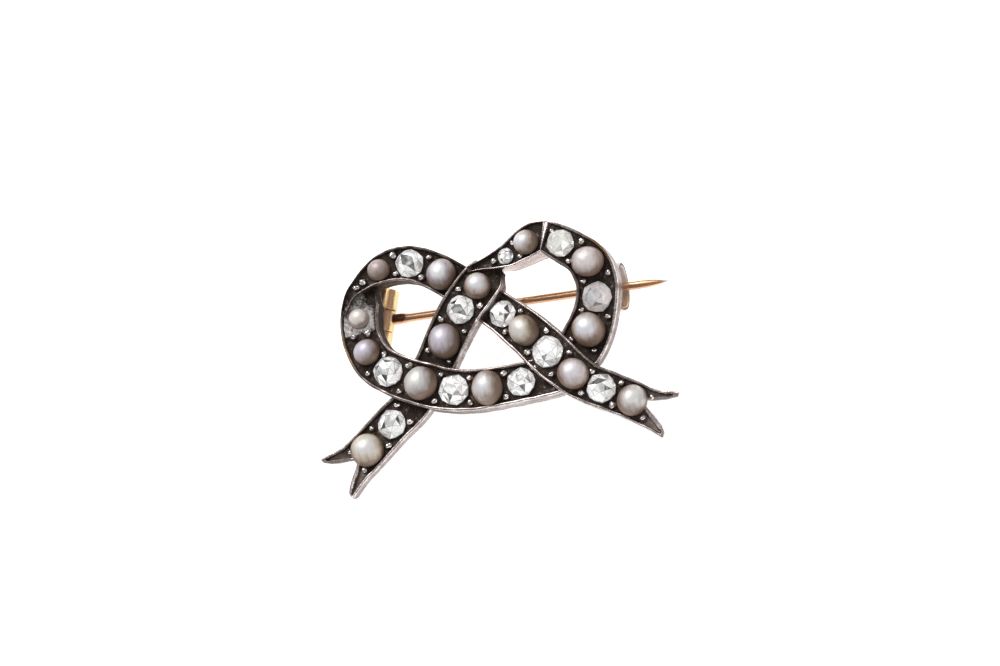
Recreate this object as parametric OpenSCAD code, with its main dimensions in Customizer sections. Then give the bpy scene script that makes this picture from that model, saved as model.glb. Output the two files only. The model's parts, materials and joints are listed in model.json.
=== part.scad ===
// Lover's knot bow brooch: a silver ribbon, tied in a knot and set with half pearls and
// rose cut diamonds by turns, with a gold tube hinge, stem and open C catch behind it.
// The bow is drawn in its own plane (X along the stem, Y to the top, Z out of the front)
// and is then leaned back until it lies on its hinge, its catch and its left tail.

/* [Bow] */
// Length of the bow from tail tip to tail tip
bow_l = 28.6; // [27.6:0.1:31]
// Height of the bow from the lowest tail tip to the crown
bow_h = 19.6; // [19:0.1:21.4]
// Width of the ribbon where it is widest
ribbon_w = 3.3; // [3.1:0.05:3.5]
// Depth of the ribbon from its rims to its back
ribbon_t = 1.7; // [1.5:0.05:1.9]
// Width of each bright rim
rim_w = 0.24; // [0.16:0.02:0.3]
// Depth of the dark floor below the rims
floor_sink = 0.36; // [0.25:0.01:0.42]
// Chamfer along the outer edge of each rim
rim_chamfer = 0.07; // [0.04:0.01:0.1]
// Depth of the swallowtail cut in each tail
notch_l = 1.5; // [1.2:0.05:1.7]

/* [Stones] */
// Free space round each stone
stone_gap = 0.05; // [0.03:0.01:0.08]
// Free space under each stone
seat_gap = 0.04; // [0.03:0.01:0.06]
// Height of a half pearl as a share of its diameter
pearl_rise = 0.62; // [0.52:0.02:0.7]
// Height of a rose cut as a share of its diameter
rose_rise = 0.4; // [0.34:0.02:0.48]
// Diameter of the silver grains that hold the stones
grain_d = 0.5; // [0.4:0.02:0.56]
// Height of the grains above the dark floor
grain_h = 0.5; // [0.4:0.02:0.6]
// Depth of the cement that fills the lost stone's cup
cement_t = 0.34; // [0.2:0.02:0.4]

/* [Hinge and stem] */
// Distance from the ribbon's back to the stem's centre line
stem_drop = 1.6; // [1.5:0.05:1.9]
// Thickness of the stem
stem_d = 0.66; // [0.56:0.02:0.76]
// Length of the sharp end of the stem
point_l = 3.2; // [2:0.1:4]
// Length of the stem that shows beyond the catch
stem_over = 3.45; // [2.8:0.05:3.6]
// Outer diameter of the hinge tube
knuckle_d = 1.7; // [1.5:0.05:1.9]
// Length of the hinge tube, with its three knuckles
hinge_l = 5; // [4.6:0.1:5.4]
// Thickness of the hinge rivet
rivet_d = 0.6; // [0.5:0.02:0.7]
// Running space round the rivet and between the knuckles
run_gap = 0.04; // [0.03:0.01:0.06]
// Angle between the hinge tube and a square line across the stem
hinge_skew = 14; // [8:1:16]

/* [Catch] */
// Width of the catch's strip along the stem
catch_w = 1.7; // [1.2:0.1:2]
// Height of the open C from its foot to its lip
catch_h = 3.8; // [3.4:0.1:4.2]
// Thickness of the catch's strip
catch_t = 0.34; // [0.26:0.02:0.4]

/* [Hidden] */

half_l = bow_l / 2;
half_h = bow_h / 2;

// Columns of the route tables, a row for each section of a length of ribbon
ALONG = 0;  // place along the bow, as a share of half_l
UP = 1;     // place up the bow, as a share of half_h
WIDE = 2;   // width, as a share of ribbon_w
TOP = 3;    // height of the rims above the bow's plane, as a share of ribbon_t
DEEP = 4;   // depth of the walls below the rims, as a share of ribbon_t

// The left tail and the strip that climbs from it to the crown
TAIL = [
    [-0.932, -0.804, 1.28, 0.66, 0.56],
    [-0.840, -0.714, 1.02, 0.66, 0.56],
    [-0.767, -0.634, 0.98, 0.66, 0.54],
    [-0.600, -0.430, 0.97, 0.70, 0.54],
    [-0.472, -0.286, 0.96, 0.76, 0.56],
    [-0.332, -0.020, 1.00, 0.90, 0.60],
    [-0.245, 0.180, 1.03, 1.06, 0.64],
    [-0.147, 0.388, 1.06, 1.20, 0.70],
    [-0.029, 0.571, 1.05, 1.24, 0.80],
    [0.034, 0.643, 0.92, 1.18, 0.82],
    [0.094, 0.712, 0.66, 1.08, 0.84],
];

// The narrow turned face over the top of that strip, up to the ridge of the crown (RIDGE_ROW),
// and from there the right loop, down to the sash
LOOP = [
    [-0.085, 0.688, 0.12, 1.38, 0.60],
    [0.000, 0.712, 0.24, 1.42, 0.80],
    [0.080, 0.732, 0.42, 1.47, 1.00],
    [0.155, 0.758, 0.58, 1.52, 1.16],
    [0.230, 0.808, 0.72, 1.58, 1.30],
    [0.295, 0.850, 0.78, 1.64, 1.42],
    [0.361, 0.858, 0.74, 1.66, 1.50],
    [0.439, 0.794, 0.84, 1.58, 1.46],
    [0.512, 0.722, 0.88, 1.46, 1.34],
    [0.573, 0.641, 0.95, 1.34, 1.20],
    [0.607, 0.541, 0.99, 1.22, 1.02],
    [0.619, 0.420, 1.00, 1.14, 0.84],
    [0.603, 0.281, 1.02, 1.08, 0.72],
    [0.565, 0.133, 1.10, 1.00, 0.62],
    [0.510, 0.002, 1.16, 0.92, 0.60],
    [0.428, -0.175, 1.04, 0.88, 0.66],
];
RIDGE_ROW = 6;

// The lower curve and the left band, up to the left fold
CURVE = [
    [0.428, -0.175, 1.02, 0.88, 0.80],
    [0.310, -0.218, 0.96, 0.92, 0.92],
    [0.165, -0.245, 0.92, 1.00, 1.00],
    [0.025, -0.258, 0.94, 1.06, 1.02],
    [-0.125, -0.260, 0.96, 1.12, 1.02],
    [-0.262, -0.228, 1.01, 1.18, 1.06],
    [-0.400, -0.158, 1.04, 1.20, 1.12],
    [-0.545, -0.058, 1.01, 1.12, 1.10],
    [-0.664, 0.072, 0.98, 1.04, 1.04],
    [-0.724, 0.250, 0.94, 1.00, 1.00],
    [-0.734, 0.430, 0.93, 1.00, 1.00],
    [-0.708, 0.590, 0.88, 1.00, 1.00],
    [-0.650, 0.700, 0.70, 1.00, 1.00],
];

// The turned face over the top of the left band, and the band that runs under the strip
FOLD = [
    [-0.815, 0.468, 0.10, 1.20, 1.10],
    [-0.774, 0.614, 0.22, 1.22, 1.20],
    [-0.712, 0.698, 0.37, 1.23, 1.23],
    [-0.634, 0.770, 0.57, 1.23, 1.23],
    [-0.545, 0.818, 0.74, 1.20, 1.20],
    [-0.455, 0.826, 0.82, 1.14, 1.12],
    [-0.370, 0.796, 0.85, 1.06, 1.06],
    [-0.280, 0.728, 0.88, 0.98, 0.98],
    [-0.189, 0.635, 0.90, 0.90, 0.90],
    [-0.077, 0.508, 0.88, 0.81, 0.79],
];

// The sash that crosses from under the strip, over the loop, to the right tail
SASH = [
    [-0.077, 0.508, 0.91, 0.86, 0.86],
    [0.035, 0.367, 0.91, 0.88, 0.86],
    [0.126, 0.250, 0.97, 0.98, 0.88],
    [0.225, 0.108, 1.03, 1.08, 0.92],
    [0.316, -0.040, 1.08, 1.16, 1.00],
    [0.412, -0.190, 1.03, 1.20, 1.06],
    [0.510, -0.316, 0.93, 1.14, 1.00],
    [0.626, -0.406, 0.91, 1.00, 0.86],
    [0.749, -0.501, 0.90, 0.86, 0.72],
    [0.838, -0.581, 0.93, 0.76, 0.62],
    [0.937, -0.644, 1.11, 0.72, 0.60],
];

ROUTES = [TAIL, LOOP, CURVE, FOLD, SASH];
ON_TAIL = 0;
ON_LOOP = 1;
ON_CURVE = 2;
ON_FOLD = 3;
ON_SASH = 4;

// Columns of the stone chart, a row for each stone in its order along the ribbon
ON = 0;     // the route that carries it
AT = 1;     // its place there, counted in rows
SIZE = 2;   // diameter, as a share of the widest stone that fits between the rims
KIND = 3;   // half pearl or rose cut
PEARL = "pearl";
ROSE = "rose";

// Two pearls keep off the side of the ribbon that crosses theirs, by a share of ribbon_w
CEMENTED_OFF = 0.3046;
STRIP_OFF = 0.4112;
SIDE_STEP = 0.05;       // rows between the places where such a side is measured
FOUND = 0.0001;         // how closely a row is found

STONES = [
    [ON_TAIL, 2.14, 0.96, PEARL],
    [ON_TAIL, 3.00, 0.86, ROSE],
    [ON_TAIL, 5.90, 0.96, PEARL],
    [ON_TAIL, 7.00, 0.92, ROSE],
    [ON_TAIL, 7.88, 0.84, PEARL],
    [ON_LOOP, 2.75, 0.50, ROSE],
    [ON_LOOP, 4.50, 0.72, PEARL],
    [ON_LOOP, 7.10, 0.80, ROSE],
    [ON_LOOP, 9.20, 0.90, PEARL],
    [ON_LOOP, 11.60, 0.90, ROSE],
    [ON_LOOP, 13.30, 0.98, PEARL],
    [ON_CURVE, 2.10, 0.84, ROSE],
    [ON_CURVE, 3.40, 0.94, PEARL],
    [ON_CURVE, 4.70, 0.90, ROSE],
    [ON_CURVE, 6.00, 0.96, PEARL],
    [ON_CURVE, 7.30, 0.90, ROSE],
    [ON_CURVE, 8.50, 0.76, PEARL],
    [ON_CURVE, row_beside(CURVE, FOLD, CEMENTED_OFF * ribbon_w, 9, 11), 0.60, PEARL],
    [ON_FOLD, 3.45, 0.72, PEARL],
    [ON_FOLD, 5.40, 0.92, ROSE],
    [ON_FOLD, row_beside(FOLD, TAIL, STRIP_OFF * ribbon_w, 6, last(FOLD)), 0.90, PEARL],
    [ON_SASH, 1.45, 0.84, ROSE],
    [ON_SASH, 2.70, 0.92, PEARL],
    [ON_SASH, 4.02, 0.94, ROSE],
    [ON_SASH, 5.40, 0.94, PEARL],
    [ON_SASH, 6.70, 0.90, ROSE],
    [ON_SASH, 8.00, 0.88, PEARL],
];
CEMENTED = 17;

// Grains at the outer ends of each run of stones: route, place in rows, share across it
END_GRAINS = [
    [ON_TAIL, 1.45, 0.80], [ON_TAIL, 1.40, -0.80], [ON_TAIL, 3.55, 0.80], [ON_TAIL, 3.55, -0.80],
    [ON_TAIL, 5.35, 0.85], [ON_TAIL, 5.30, -0.85], [ON_LOOP, 1.80, 0.00],
    [ON_LOOP, 6.35, 0.70], [ON_CURVE, 1.50, -0.80],
    [ON_FOLD, 2.30, 0.00], [ON_FOLD, 1.75, 0.00], [ON_SASH, 8.85, 0.80], [ON_SASH, 8.85, -0.80],
];

SECTION_STEP = 0.3;     // rows between two sections of the ribbon
MIN_STEP = 0.08;        // the least that two stops stand apart, in rows
BEYOND = 4;             // how far a cutting shape runs past what it cuts
RIDGE = 0.5;            // share of rim_w that each face gives to the ridge between two faces
TIP_W = 0.12;           // width left at the very tip of a swallowtail
HIDDEN = 0.13;          // rows without a floor at an end that lies under another ribbon
TAPER = 0.31;           // rows without a floor at the sharp start of a turned face
NEAR = 2.5;             // rows within which two stones share a pair of grains
GRAIN_OUT = 0.88;       // how far out a pair of grains stands, as a share of the free half width
GRAIN_SIDES = 8;        // sides of a grain
GRAIN_FOOT = 0.8;       // thickness of its foot, as a share of its head's
GIRDLE_SIDES = 12;      // facets round a rose cut's girdle
GIRDLE_TOP = 0.56;      // how far those facets lean in, as a share of the stone's diameter
STAR_SIDES = 6;         // facets round its table
STAR_FOOT = 1.42;       // diameter of the star of facets level with the floor, as the same share
STAR_TOP = 0.4;         // diameter of the table that they leave, as the same share
STAR_OFF = 0.03;        // how far the star stands off the stone's middle, as the same share
STONE_TURN = 360 / 7;   // how much each stone is turned on from the one before it
HINGE_AT = 10.2;        // row of CURVE behind which the hinge lies
HINGE_IN = 0.55;        // how far the hinge's axis lies in from the band's inner edge
LEG_W = 1.2;            // width of the two legs that carry the hinge
KNUCKLES = 3;           // knuckles of the hinge tube
ROOT_L = 1.4;           // length of the cone of solder at the stem's root
ROOT_D = 1;             // its thickness at the knuckle
ROOT_END = 0.9;         // its thickness where it runs out, as a share of the stem's
ROOT_IN = 0.15;         // how far the stem reaches into its knuckle's wall
POINT_D = 0.1;          // thickness left at the stem's point
FOOT_H = 1.9;           // height of the catch's foot on the loop's back
FOOT_UP = 0.8;          // share of that height that stands above the stem
FOOT_T = 0.3;           // thickness of that foot
CATCH_IN = 0.35;        // how far the catch stands in from the loop's outer edge
CATCH_FROM = -84;       // angle at which the catch's C leaves its foot, from the crown's side
CATCH_TO = 196;         // angle at which it ends in the lip
CATCH_STEPS = 24;       // straight parts of the C
ROUND = 48;             // parts of a full circle

function unit(v) = v / norm(v);
function last(rows) = len(rows) - 1;
function row(rows, k) = rows[max(0, min(last(rows), k))];

// A smooth curve through the rows, one interval of it from b to c
function smooth(a, b, c, d, f) =
    b + (c - a) * f / 2 + (2 * a - 5 * b + 4 * c - d) * f * f / 2 + (3 * (b - c) + d - a) * f * f * f / 2;
function section(rows, at) =
    let (k = max(0, min(last(rows) - 1, floor(at))))
    smooth(row(rows, k - 1), row(rows, k), row(rows, k + 1), row(rows, k + 2), at - k);

// A point on the centre line, level with the rims
function place(rows, at) =
    let (s = section(rows, at)) [s[ALONG] * half_l, s[UP] * half_h, s[TOP] * ribbon_t];
function width(rows, at) = section(rows, at)[WIDE] * ribbon_w;
function depth(rows, at) = section(rows, at)[DEEP] * ribbon_t;
function rim(rows, at) = rim_w * min(1, section(rows, at)[WIDE]);
function channel_w(rows, at) = width(rows, at) - 2 * rim(rows, at);
function heading(rows, at) =
    unit(place(rows, min(last(rows), at + 0.02)) - place(rows, max(0, at - 0.02)));
function across(rows, at) = let (h = heading(rows, at)) unit([-h[1], h[0], 0]);

// How far a place on a route stands off the side of another route, seen from the front
function off_side(rows, at, other) =
    min([for (t = [0 : SIDE_STEP : last(other)])
        let (v = place(rows, at) - place(other, t)) norm([v[0], v[1]]) - width(other, t) / 2]);
// The row between a and b where a route, on its way to the other, is off its side by a distance
function row_beside(rows, other, off, a, b) =
    b - a < FOUND ? (a + b) / 2
    : let (m = (a + b) / 2)
      off_side(rows, m, other) > off ? row_beside(rows, other, off, m, b)
                                     : row_beside(rows, other, off, a, m);

// Outlines across the ribbon, down from its rims: its solid bar, and the cut above its floor
function bar_outline(w, deep) =
    let (c = min(rim_chamfer, w / 4))
    [[w / 2, -deep], [w / 2, -c], [w / 2 - c, 0], [-w / 2 + c, 0], [-w / 2, -c], [-w / 2, -deep]];
function channel_outline(w) =
    [[w / 2, -floor_sink], [w / 2, BEYOND], [-w / 2, BEYOND], [-w / 2, -floor_sink]];

function steps(a, b) = max(1, ceil((b - a) / SECTION_STEP));
function stops(a, b) = let (n = steps(a, b)) [for (i = [0 : n]) a + (b - a) * i / n];
// The stops of a floor, halfway between those of its bar, with its own two ends
function floor_stops(a, b, from, to) =
    concat([from],
           [for (i = [0.5 : steps(a, b) - 0.5])
               let (m = a + (b - a) * i / steps(a, b)) if (m > from + MIN_STEP && m < to - MIN_STEP) m],
           [to]);
// A place in whole microns, so that every ring has walls that stand truly upright
function snap(p) = [for (v = p) round(v * 1000) / 1000];
function ring(rows, at, outline) =
    let (o = place(rows, at), s = across(rows, at)) [for (q = outline) snap(o + s * q[0] + [0, 0, q[1]])];

// A solid skin over equal rings of points
module skin(rings) {
    n = len(rings[0]);
    top = len(rings) - 1;
    polyhedron(
        points = [for (r = rings) each r],
        faces = concat(
            [for (i = [0 : top - 1]) for (j = [0 : n - 1]) [i * n + j, (i + 1) * n + j, i * n + (j + 1) % n]],
            [for (i = [0 : top - 1]) for (j = [0 : n - 1])
                [i * n + (j + 1) % n, (i + 1) * n + j, (i + 1) * n + (j + 1) % n]],
            [[for (j = [0 : n - 1]) j]],
            [[for (j = [n - 1 : -1 : 0]) top * n + j]]
        )
    );
}

// Where each length of ribbon starts and ends, in rows
SPANS = [[0, last(TAIL) - 0.4], [0, last(LOOP)], [0, last(CURVE)], [0, last(FOLD)], [0, last(SASH)]];

// Rows that a length of d takes at a place on a route
function in_rows(rows, at, d) = d / norm(place(rows, at + 0.5) - place(rows, at - 0.5));

// A solid bar along a route, wider and deeper by grow than the ribbon's own
module bar(rows, from, to, grow = 0) {
    skin([for (at = stops(from, to))
        ring(rows, at, bar_outline(width(rows, at) + 2 * grow, depth(rows, at) + grow))]);
}

// The space above the floor of a route, over the rows that have a floor
module channel(route, from, to) {
    rows = ROUTES[route];
    skin([for (at = floor_stops(SPANS[route][0], SPANS[route][1], from, to))
        ring(rows, at, channel_outline(channel_w(rows, at)))]);
}

// The V that is cut from a tail's end, its point moved across by side
module swallow_cut(rows, at, outward, side) {
    h = heading(rows, at) * outward;
    w = width(rows, at) - 2 * TIP_W;
    translate(place(rows, at) - [0, 0, depth(rows, at) + BEYOND / 2])
        rotate([0, 0, atan2(h[1], h[0])])
            linear_extrude(depth(rows, at) + BEYOND)
                polygon([[-notch_l, side], [-notch_l / 2, side / 2 - w / 5], [0, -w / 2], [BEYOND, -w],
                         [BEYOND, w], [0, w / 2], [-notch_l / 2, side / 2 + w / 5]]);
}

// One length of ribbon over its span, with a floor over each stretch of rows in the list
module length_of_ribbon(route, floors) {
    difference() {
        bar(ROUTES[route], SPANS[route][0], SPANS[route][1]);
        for (f = floors) channel(route, f[0], f[1]);
    }
}

// A length of ribbon with a swallowtail at its first or last row and a rim along the cut
module tail_of_ribbon(route, at, outward, side) {
    rows = ROUTES[route];
    difference() {
        bar(rows, SPANS[route][0], SPANS[route][1]);
        difference() {
            channel(route, SPANS[route][0], SPANS[route][1]);
            minkowski() {
                swallow_cut(rows, at, outward, side);
                cylinder(r = rim_w, h = ribbon_t, $fn = 8);
            }
        }
        swallow_cut(rows, at, outward, side);
    }
}

// Stones: each stands on the floor, square to the ribbon's slope
function rows_of(i) = ROUTES[STONES[i][ON]];
function seat(i) = place(rows_of(i), STONES[i][AT]) - [0, 0, floor_sink];
function up(i) = let (rows = rows_of(i), at = STONES[i][AT]) cross(heading(rows, at), across(rows, at));
function free_d(i) =
    min(STONES[i][SIZE] * (ribbon_w - 2 * rim_w), channel_w(rows_of(i), STONES[i][AT])) - 2 * stone_gap;
// How far two neighbours may keep the sizes they ask for, level with their floors and above them
function fit_of(i, j) =
    let (apart = min([for (h = [0, ribbon_t / 3]) norm(seat(i) + up(i) * h - seat(j) - up(j) * h)]))
    (apart - stone_gap) / ((free_d(i) + free_d(j)) / 2);
function stone_d(i) =
    free_d(i) * min([1, for (j = [i - 1, i + 1]) if (j >= 0 && j < len(STONES)) fit_of(i, j)]);
// The highest that the floor rises into a stone's own plane, within its outline
function rise(i) =
    let (rows = rows_of(i), at = STONES[i][AT], r = stone_d(i) / 2, c = seat(i), n = up(i),
         reach = in_rows(rows, at, r))
    max([0, for (t = [-1 : 0.25 : 1]) for (side = [-1 : 0.5 : 1])
        let (a = at + t * reach, q = place(rows, a) - [0, 0, floor_sink] + across(rows, a) * r * side - c)
        if (norm(q) <= r * 1.05) q * n]);

// Moves a shape, drawn upright at the origin, to the seat of stone i
module on_seat(i) {
    h = heading(rows_of(i), STONES[i][AT]);
    s = across(rows_of(i), STONES[i][AT]);
    n = up(i);
    c = seat(i) + n * (rise(i) + seat_gap);
    multmatrix([[h[0], s[0], n[0], c[0]], [h[1], s[1], n[1], c[1]], [h[2], s[2], n[2], c[2]], [0, 0, 0, 1]])
        children();
}

function of_kind(kind) = [for (i = [0 : len(STONES) - 1]) if (STONES[i][KIND] == kind) i];

// Half pearl k, counted from 1 along the ribbon
module pearl(k) {
    i = of_kind(PEARL)[k - 1];
    d = stone_d(i);
    color("Lavender")
        laid() on_seat(i)
            intersection() {
                translate([0, 0, (pearl_rise - 0.5) * d]) sphere(d = d, $fn = ROUND);
                cylinder(d = 2 * d, h = d, $fn = ROUND);
            }
}

// Rose cut k, counted from 1: facets that lean in from the girdle, under a star of facets and a table
module diamond(k) {
    i = of_kind(ROSE)[k - 1];
    d = stone_d(i);
    h = rose_rise * d;
    turn = STONE_TURN * k;
    color("Gainsboro")
        laid() on_seat(i)
            intersection() {
                rotate([0, 0, turn]) cylinder(d1 = d, d2 = GIRDLE_TOP * d, h = h, $fn = GIRDLE_SIDES);
                rotate([0, 0, turn * 2])
                    translate([STAR_OFF * d, 0, 0])
                        cylinder(d1 = STAR_FOOT * d, d2 = STAR_TOP * d, h = h, $fn = STAR_SIDES);
            }
}

// Grains stand in pairs between neighbouring stones, and where END_GRAINS puts them
GRAINS = concat(
    [for (i = [0 : len(STONES) - 2])
        let (a = STONES[i], b = STONES[i + 1])
        if (a[ON] == b[ON] && b[AT] - a[AT] < NEAR && i + 1 != CEMENTED)
            for (side = [-1, 1]) [a[ON], (a[AT] + b[AT]) / 2, side * GRAIN_OUT]],
    END_GRAINS
);
function grain_at(g) =
    let (rows = ROUTES[g[0]])
    place(rows, g[1]) - [0, 0, floor_sink]
        + across(rows, g[1]) * g[2] * (channel_w(rows, g[1]) - grain_d) / 2;
// A grain's radius, less than half of grain_d where it would touch a stone
function grain_r(g) =
    let (p = grain_at(g))
    max(grain_d / 5, min([grain_d / 2, for (i = [0 : len(STONES) - 1]) if (STONES[i][ON] == g[0])
        min([for (h = [0, ribbon_t / 4]) norm(seat(i) + up(i) * h - p - [0, 0, h])])
            - stone_d(i) / 2 - stone_gap]));

module grain(g) {
    r = grain_r(g);
    translate(snap(grain_at(g)))
        hull() {
            translate([0, 0, grain_h - r]) sphere(r = r, $fn = GRAIN_SIDES);
            translate([0, 0, -floor_sink / 2])
                cylinder(r = r * GRAIN_FOOT, h = floor_sink / 4, $fn = GRAIN_SIDES);
        }
}

module ribbon() {
    ridge = in_rows(LOOP, RIDGE_ROW, RIDGE * rim_w);
    color("DimGray")
        laid() {
            tail_of_ribbon(ON_TAIL, 0, -1, 0);
            length_of_ribbon(ON_LOOP, [[TAPER, RIDGE_ROW - ridge],
                                       [RIDGE_ROW + ridge, last(LOOP) - HIDDEN]]);
            length_of_ribbon(ON_CURVE, [[HIDDEN, last(CURVE) - HIDDEN]]);
            length_of_ribbon(ON_FOLD, [[TAPER, last(FOLD) - HIDDEN]]);
            tail_of_ribbon(ON_SASH, last(SASH), 1, 0.4);
            for (g = GRAINS) grain(g);
        }
}

// The grey filling round the small pearl, in the band and under the fold's edge
CEMENT_IN = 0.402;      // how much it takes of the space between that pearl and the one before it
CEMENT_TO = 11.3;       // row of CURVE where it ends
// Its lumpy top: place across the band's half width, and depth below the rims as a share of its own
CEMENT_TOP = [[1, 0.8], [0.5, 1], [-0.5, 0.9], [-1, 1]];
function cement_ring(at) =
    let (w = channel_w(CURVE, at) / 2 - stone_gap, low = seat_gap - floor_sink, high = low + cement_t)
    ring(CURVE, at, concat([[w, low]], [for (q = CEMENT_TOP) [w * q[0], high * q[1]]], [[-w, low]]));

// The row where it starts: off the pearl's middle by its radius and that share of the space
function cement_from() =
    let (at = STONES[CEMENTED][AT], r = stone_d(CEMENTED) / 2, before = CEMENTED - 1,
         space = norm(seat(CEMENTED) - seat(before)) - r - stone_d(before) / 2)
    at - in_rows(CURVE, at, r + CEMENT_IN * space);

module cement() {
    d = stone_d(CEMENTED);
    color("DarkGray")
        laid()
            difference() {
                skin([for (at = stops(cement_from(), CEMENT_TO)) cement_ring(at)]);
                on_seat(CEMENTED)
                    translate([0, 0, -d / 2]) cylinder(d = d + 2 * stone_gap, h = 2 * d, $fn = ROUND);
                bar(FOLD, 0, last(FOLD), stone_gap);
            }
}

// The hinge, behind the band: its axis runs up the bow, turned by hinge_skew
hinge_x = place(CURVE, HINGE_AT)[0] + width(CURVE, HINGE_AT) / 2 - HINGE_IN;
pin_y = place(CURVE, HINGE_AT)[1];
axis_at = [hinge_x, pin_y, -stem_drop];
axis_dir = [sin(hinge_skew), cos(hinge_skew), 0];
knuckle_l = (hinge_l - (KNUCKLES - 1) * run_gap) / KNUCKLES;

// Moves a shape drawn along Z, centred on the origin, to the hinge's axis
module on_axis() {
    translate(axis_at) rotate([-90, 0, -hinge_skew]) children();
}

module hinge() {
    color("Goldenrod")
        laid() {
            on_axis() translate([0, 0, -hinge_l / 2]) cylinder(d = rivet_d, h = hinge_l, $fn = ROUND);
            for (side = [-1, 1])
                on_axis() translate([0, 0, side * (knuckle_l + run_gap) - knuckle_l / 2]) {
                    cylinder(d = knuckle_d, h = knuckle_l, $fn = ROUND);
                    translate([-knuckle_d / 2, seat_gap - stem_drop, 0])
                        cube([LEG_W, stem_drop - knuckle_d / 4, knuckle_l]);
                }
        }
}

// The catch, behind the loop where the stem passes it, found by height below the ridge
function row_at_y(rows, y, a, b) =
    b - a < 0.001 ? a
    : let (m = (a + b) / 2) place(rows, m)[1] > y ? row_at_y(rows, y, m, b) : row_at_y(rows, y, a, m);
function back_z(rows, at) = place(rows, at)[2] - depth(rows, at);
catch_row = row_at_y(LOOP, pin_y, RIDGE_ROW, last(LOOP));
foot_row = row_at_y(LOOP, pin_y + FOOT_H * FOOT_UP, RIDGE_ROW, last(LOOP));
foot_z = min(back_z(LOOP, catch_row), back_z(LOOP, foot_row)) - seat_gap;
catch_end = place(LOOP, catch_row)[0] + width(LOOP, catch_row) / 2 - CATCH_IN;
tip_x = catch_end + stem_over;

// How the brooch lies: it is leaned until its left tail and the hinge's lower end touch the floor
tail_low = let (q = ring(TAIL, 0, bar_outline(width(TAIL, 0), depth(TAIL, 0)))) q[len(q) - 1];
hinge_low = axis_at - axis_dir * hinge_l / 2;
function normal(a) = [0, sin(a), cos(a)];
function above(a) =
    let (n = normal(a), along = n * axis_dir)
    n * tail_low - (n * hinge_low - knuckle_d / 2 * sqrt(1 - along * along));
function lean_of(a, b) =
    b - a < 0.0005 ? a : let (m = (a + b) / 2) above(m) > 0 ? lean_of(m, b) : lean_of(a, m);
lean = lean_of(1, 40);
floor_z = normal(lean) * tail_low;

// The C's own half depth, with which it touches the same floor
half_c = catch_h / 2;
room = foot_z - (floor_z - pin_y * sin(lean)) / cos(lean);
deep_c = (room * room - tan(lean) * tan(lean) * half_c * half_c) / (2 * room);
function on_c(a, t) = [pin_y + (half_c - t) * cos(a), foot_z - deep_c - (deep_c - t) * sin(a)];

module catch() {
    arc = [for (k = [0 : CATCH_STEPS]) CATCH_FROM + (CATCH_TO - CATCH_FROM) * k / CATCH_STEPS];
    color("Goldenrod")
        laid() translate([catch_end - catch_w, 0, 0]) {
            rotate([90, 0, 90]) linear_extrude(catch_w)
                polygon(concat([for (a = arc) on_c(a, 0)],
                               [for (k = [CATCH_STEPS : -1 : 0]) on_c(arc[k], catch_t)]));
            translate([0, pin_y - FOOT_H * (1 - FOOT_UP), foot_z - FOOT_T]) cube([catch_w, FOOT_H, FOOT_T]);
        }
}

module pin_stem() {
    stem_from = knuckle_d / 2 - ROOT_IN;
    straight = tip_x - hinge_x - point_l - stem_from;
    color("Peru")
        laid() {
            difference() {
                on_axis() translate([0, 0, -knuckle_l / 2])
                    cylinder(d = knuckle_d, h = knuckle_l, $fn = ROUND);
                on_axis() translate([0, 0, -hinge_l / 2])
                    cylinder(d = rivet_d + 2 * run_gap, h = hinge_l, $fn = ROUND);
            }
            translate(axis_at + [stem_from, 0, 0]) rotate([0, 90, 0]) {
                cylinder(d = stem_d, h = straight, $fn = ROUND);
                cylinder(d1 = ROOT_D, d2 = ROOT_END * stem_d, h = ROOT_L, $fn = ROUND);
                translate([0, 0, straight]) cylinder(d1 = stem_d, d2 = POINT_D, h = point_l, $fn = ROUND);
            }
        }
}

// The brooch's own extent once it is laid down, for its place on the origin
corners = [for (k = [0 : len(ROUTES) - 1]) for (at = stops(SPANS[k][0], SPANS[k][1]))
    each ring(ROUTES[k], at, bar_outline(width(ROUTES[k], at), depth(ROUTES[k], at)))];
across_floor = [for (q = corners) q[1] * cos(lean) - q[2] * sin(lean)];
mid_x = (min([for (q = corners) q[0]]) + max([tip_x, for (q = corners) q[0]])) / 2;
mid_y = (min(across_floor) + max(across_floor)) / 2;

module laid() {
    translate([-mid_x, -mid_y, -floor_z]) rotate([lean, 0, 0]) children();
}

ribbon();
pearl(1);  // pearl_1
pearl(2);  // pearl_2
pearl(3);  // pearl_3
pearl(4);  // pearl_4
pearl(5);  // pearl_5
pearl(6);  // pearl_6
pearl(7);  // pearl_7
pearl(8);  // pearl_8
pearl(9);  // pearl_9
pearl(10);  // pearl_10
pearl(11);  // pearl_11
pearl(12);  // pearl_12
pearl(13);  // pearl_13
pearl(14);  // pearl_14
pearl(15);  // pearl_15
diamond(1);  // diamond_1
diamond(2);  // diamond_2
diamond(3);  // diamond_3
diamond(4);  // diamond_4
diamond(5);  // diamond_5
diamond(6);  // diamond_6
diamond(7);  // diamond_7
diamond(8);  // diamond_8
diamond(9);  // diamond_9
diamond(10);  // diamond_10
diamond(11);  // diamond_11
diamond(12);  // diamond_12
cement();
hinge();
catch();
pin_stem();
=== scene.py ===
"""The looks of a lover's knot bow brooch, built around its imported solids.

A dark silver ribbon, tied in a knot, lies on a white table. Half pearls and rose cut diamonds stand in its
channel by turns, held by bright silver grains. Behind it are a gold tube hinge, a rose gold stem and an open
C catch. Shapes are worked out in the bow's own plane in millimetres (X along the stem, Y to the top, Z out
of the front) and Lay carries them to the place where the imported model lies.
"""

from __future__ import annotations

import sys

import json
import logging
import math
from dataclasses import dataclass, field
from enum import Enum
from typing import Any, Iterator, Sequence

import bmesh
import bpy
import numpy as np
from mathutils import Matrix, Vector

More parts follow.
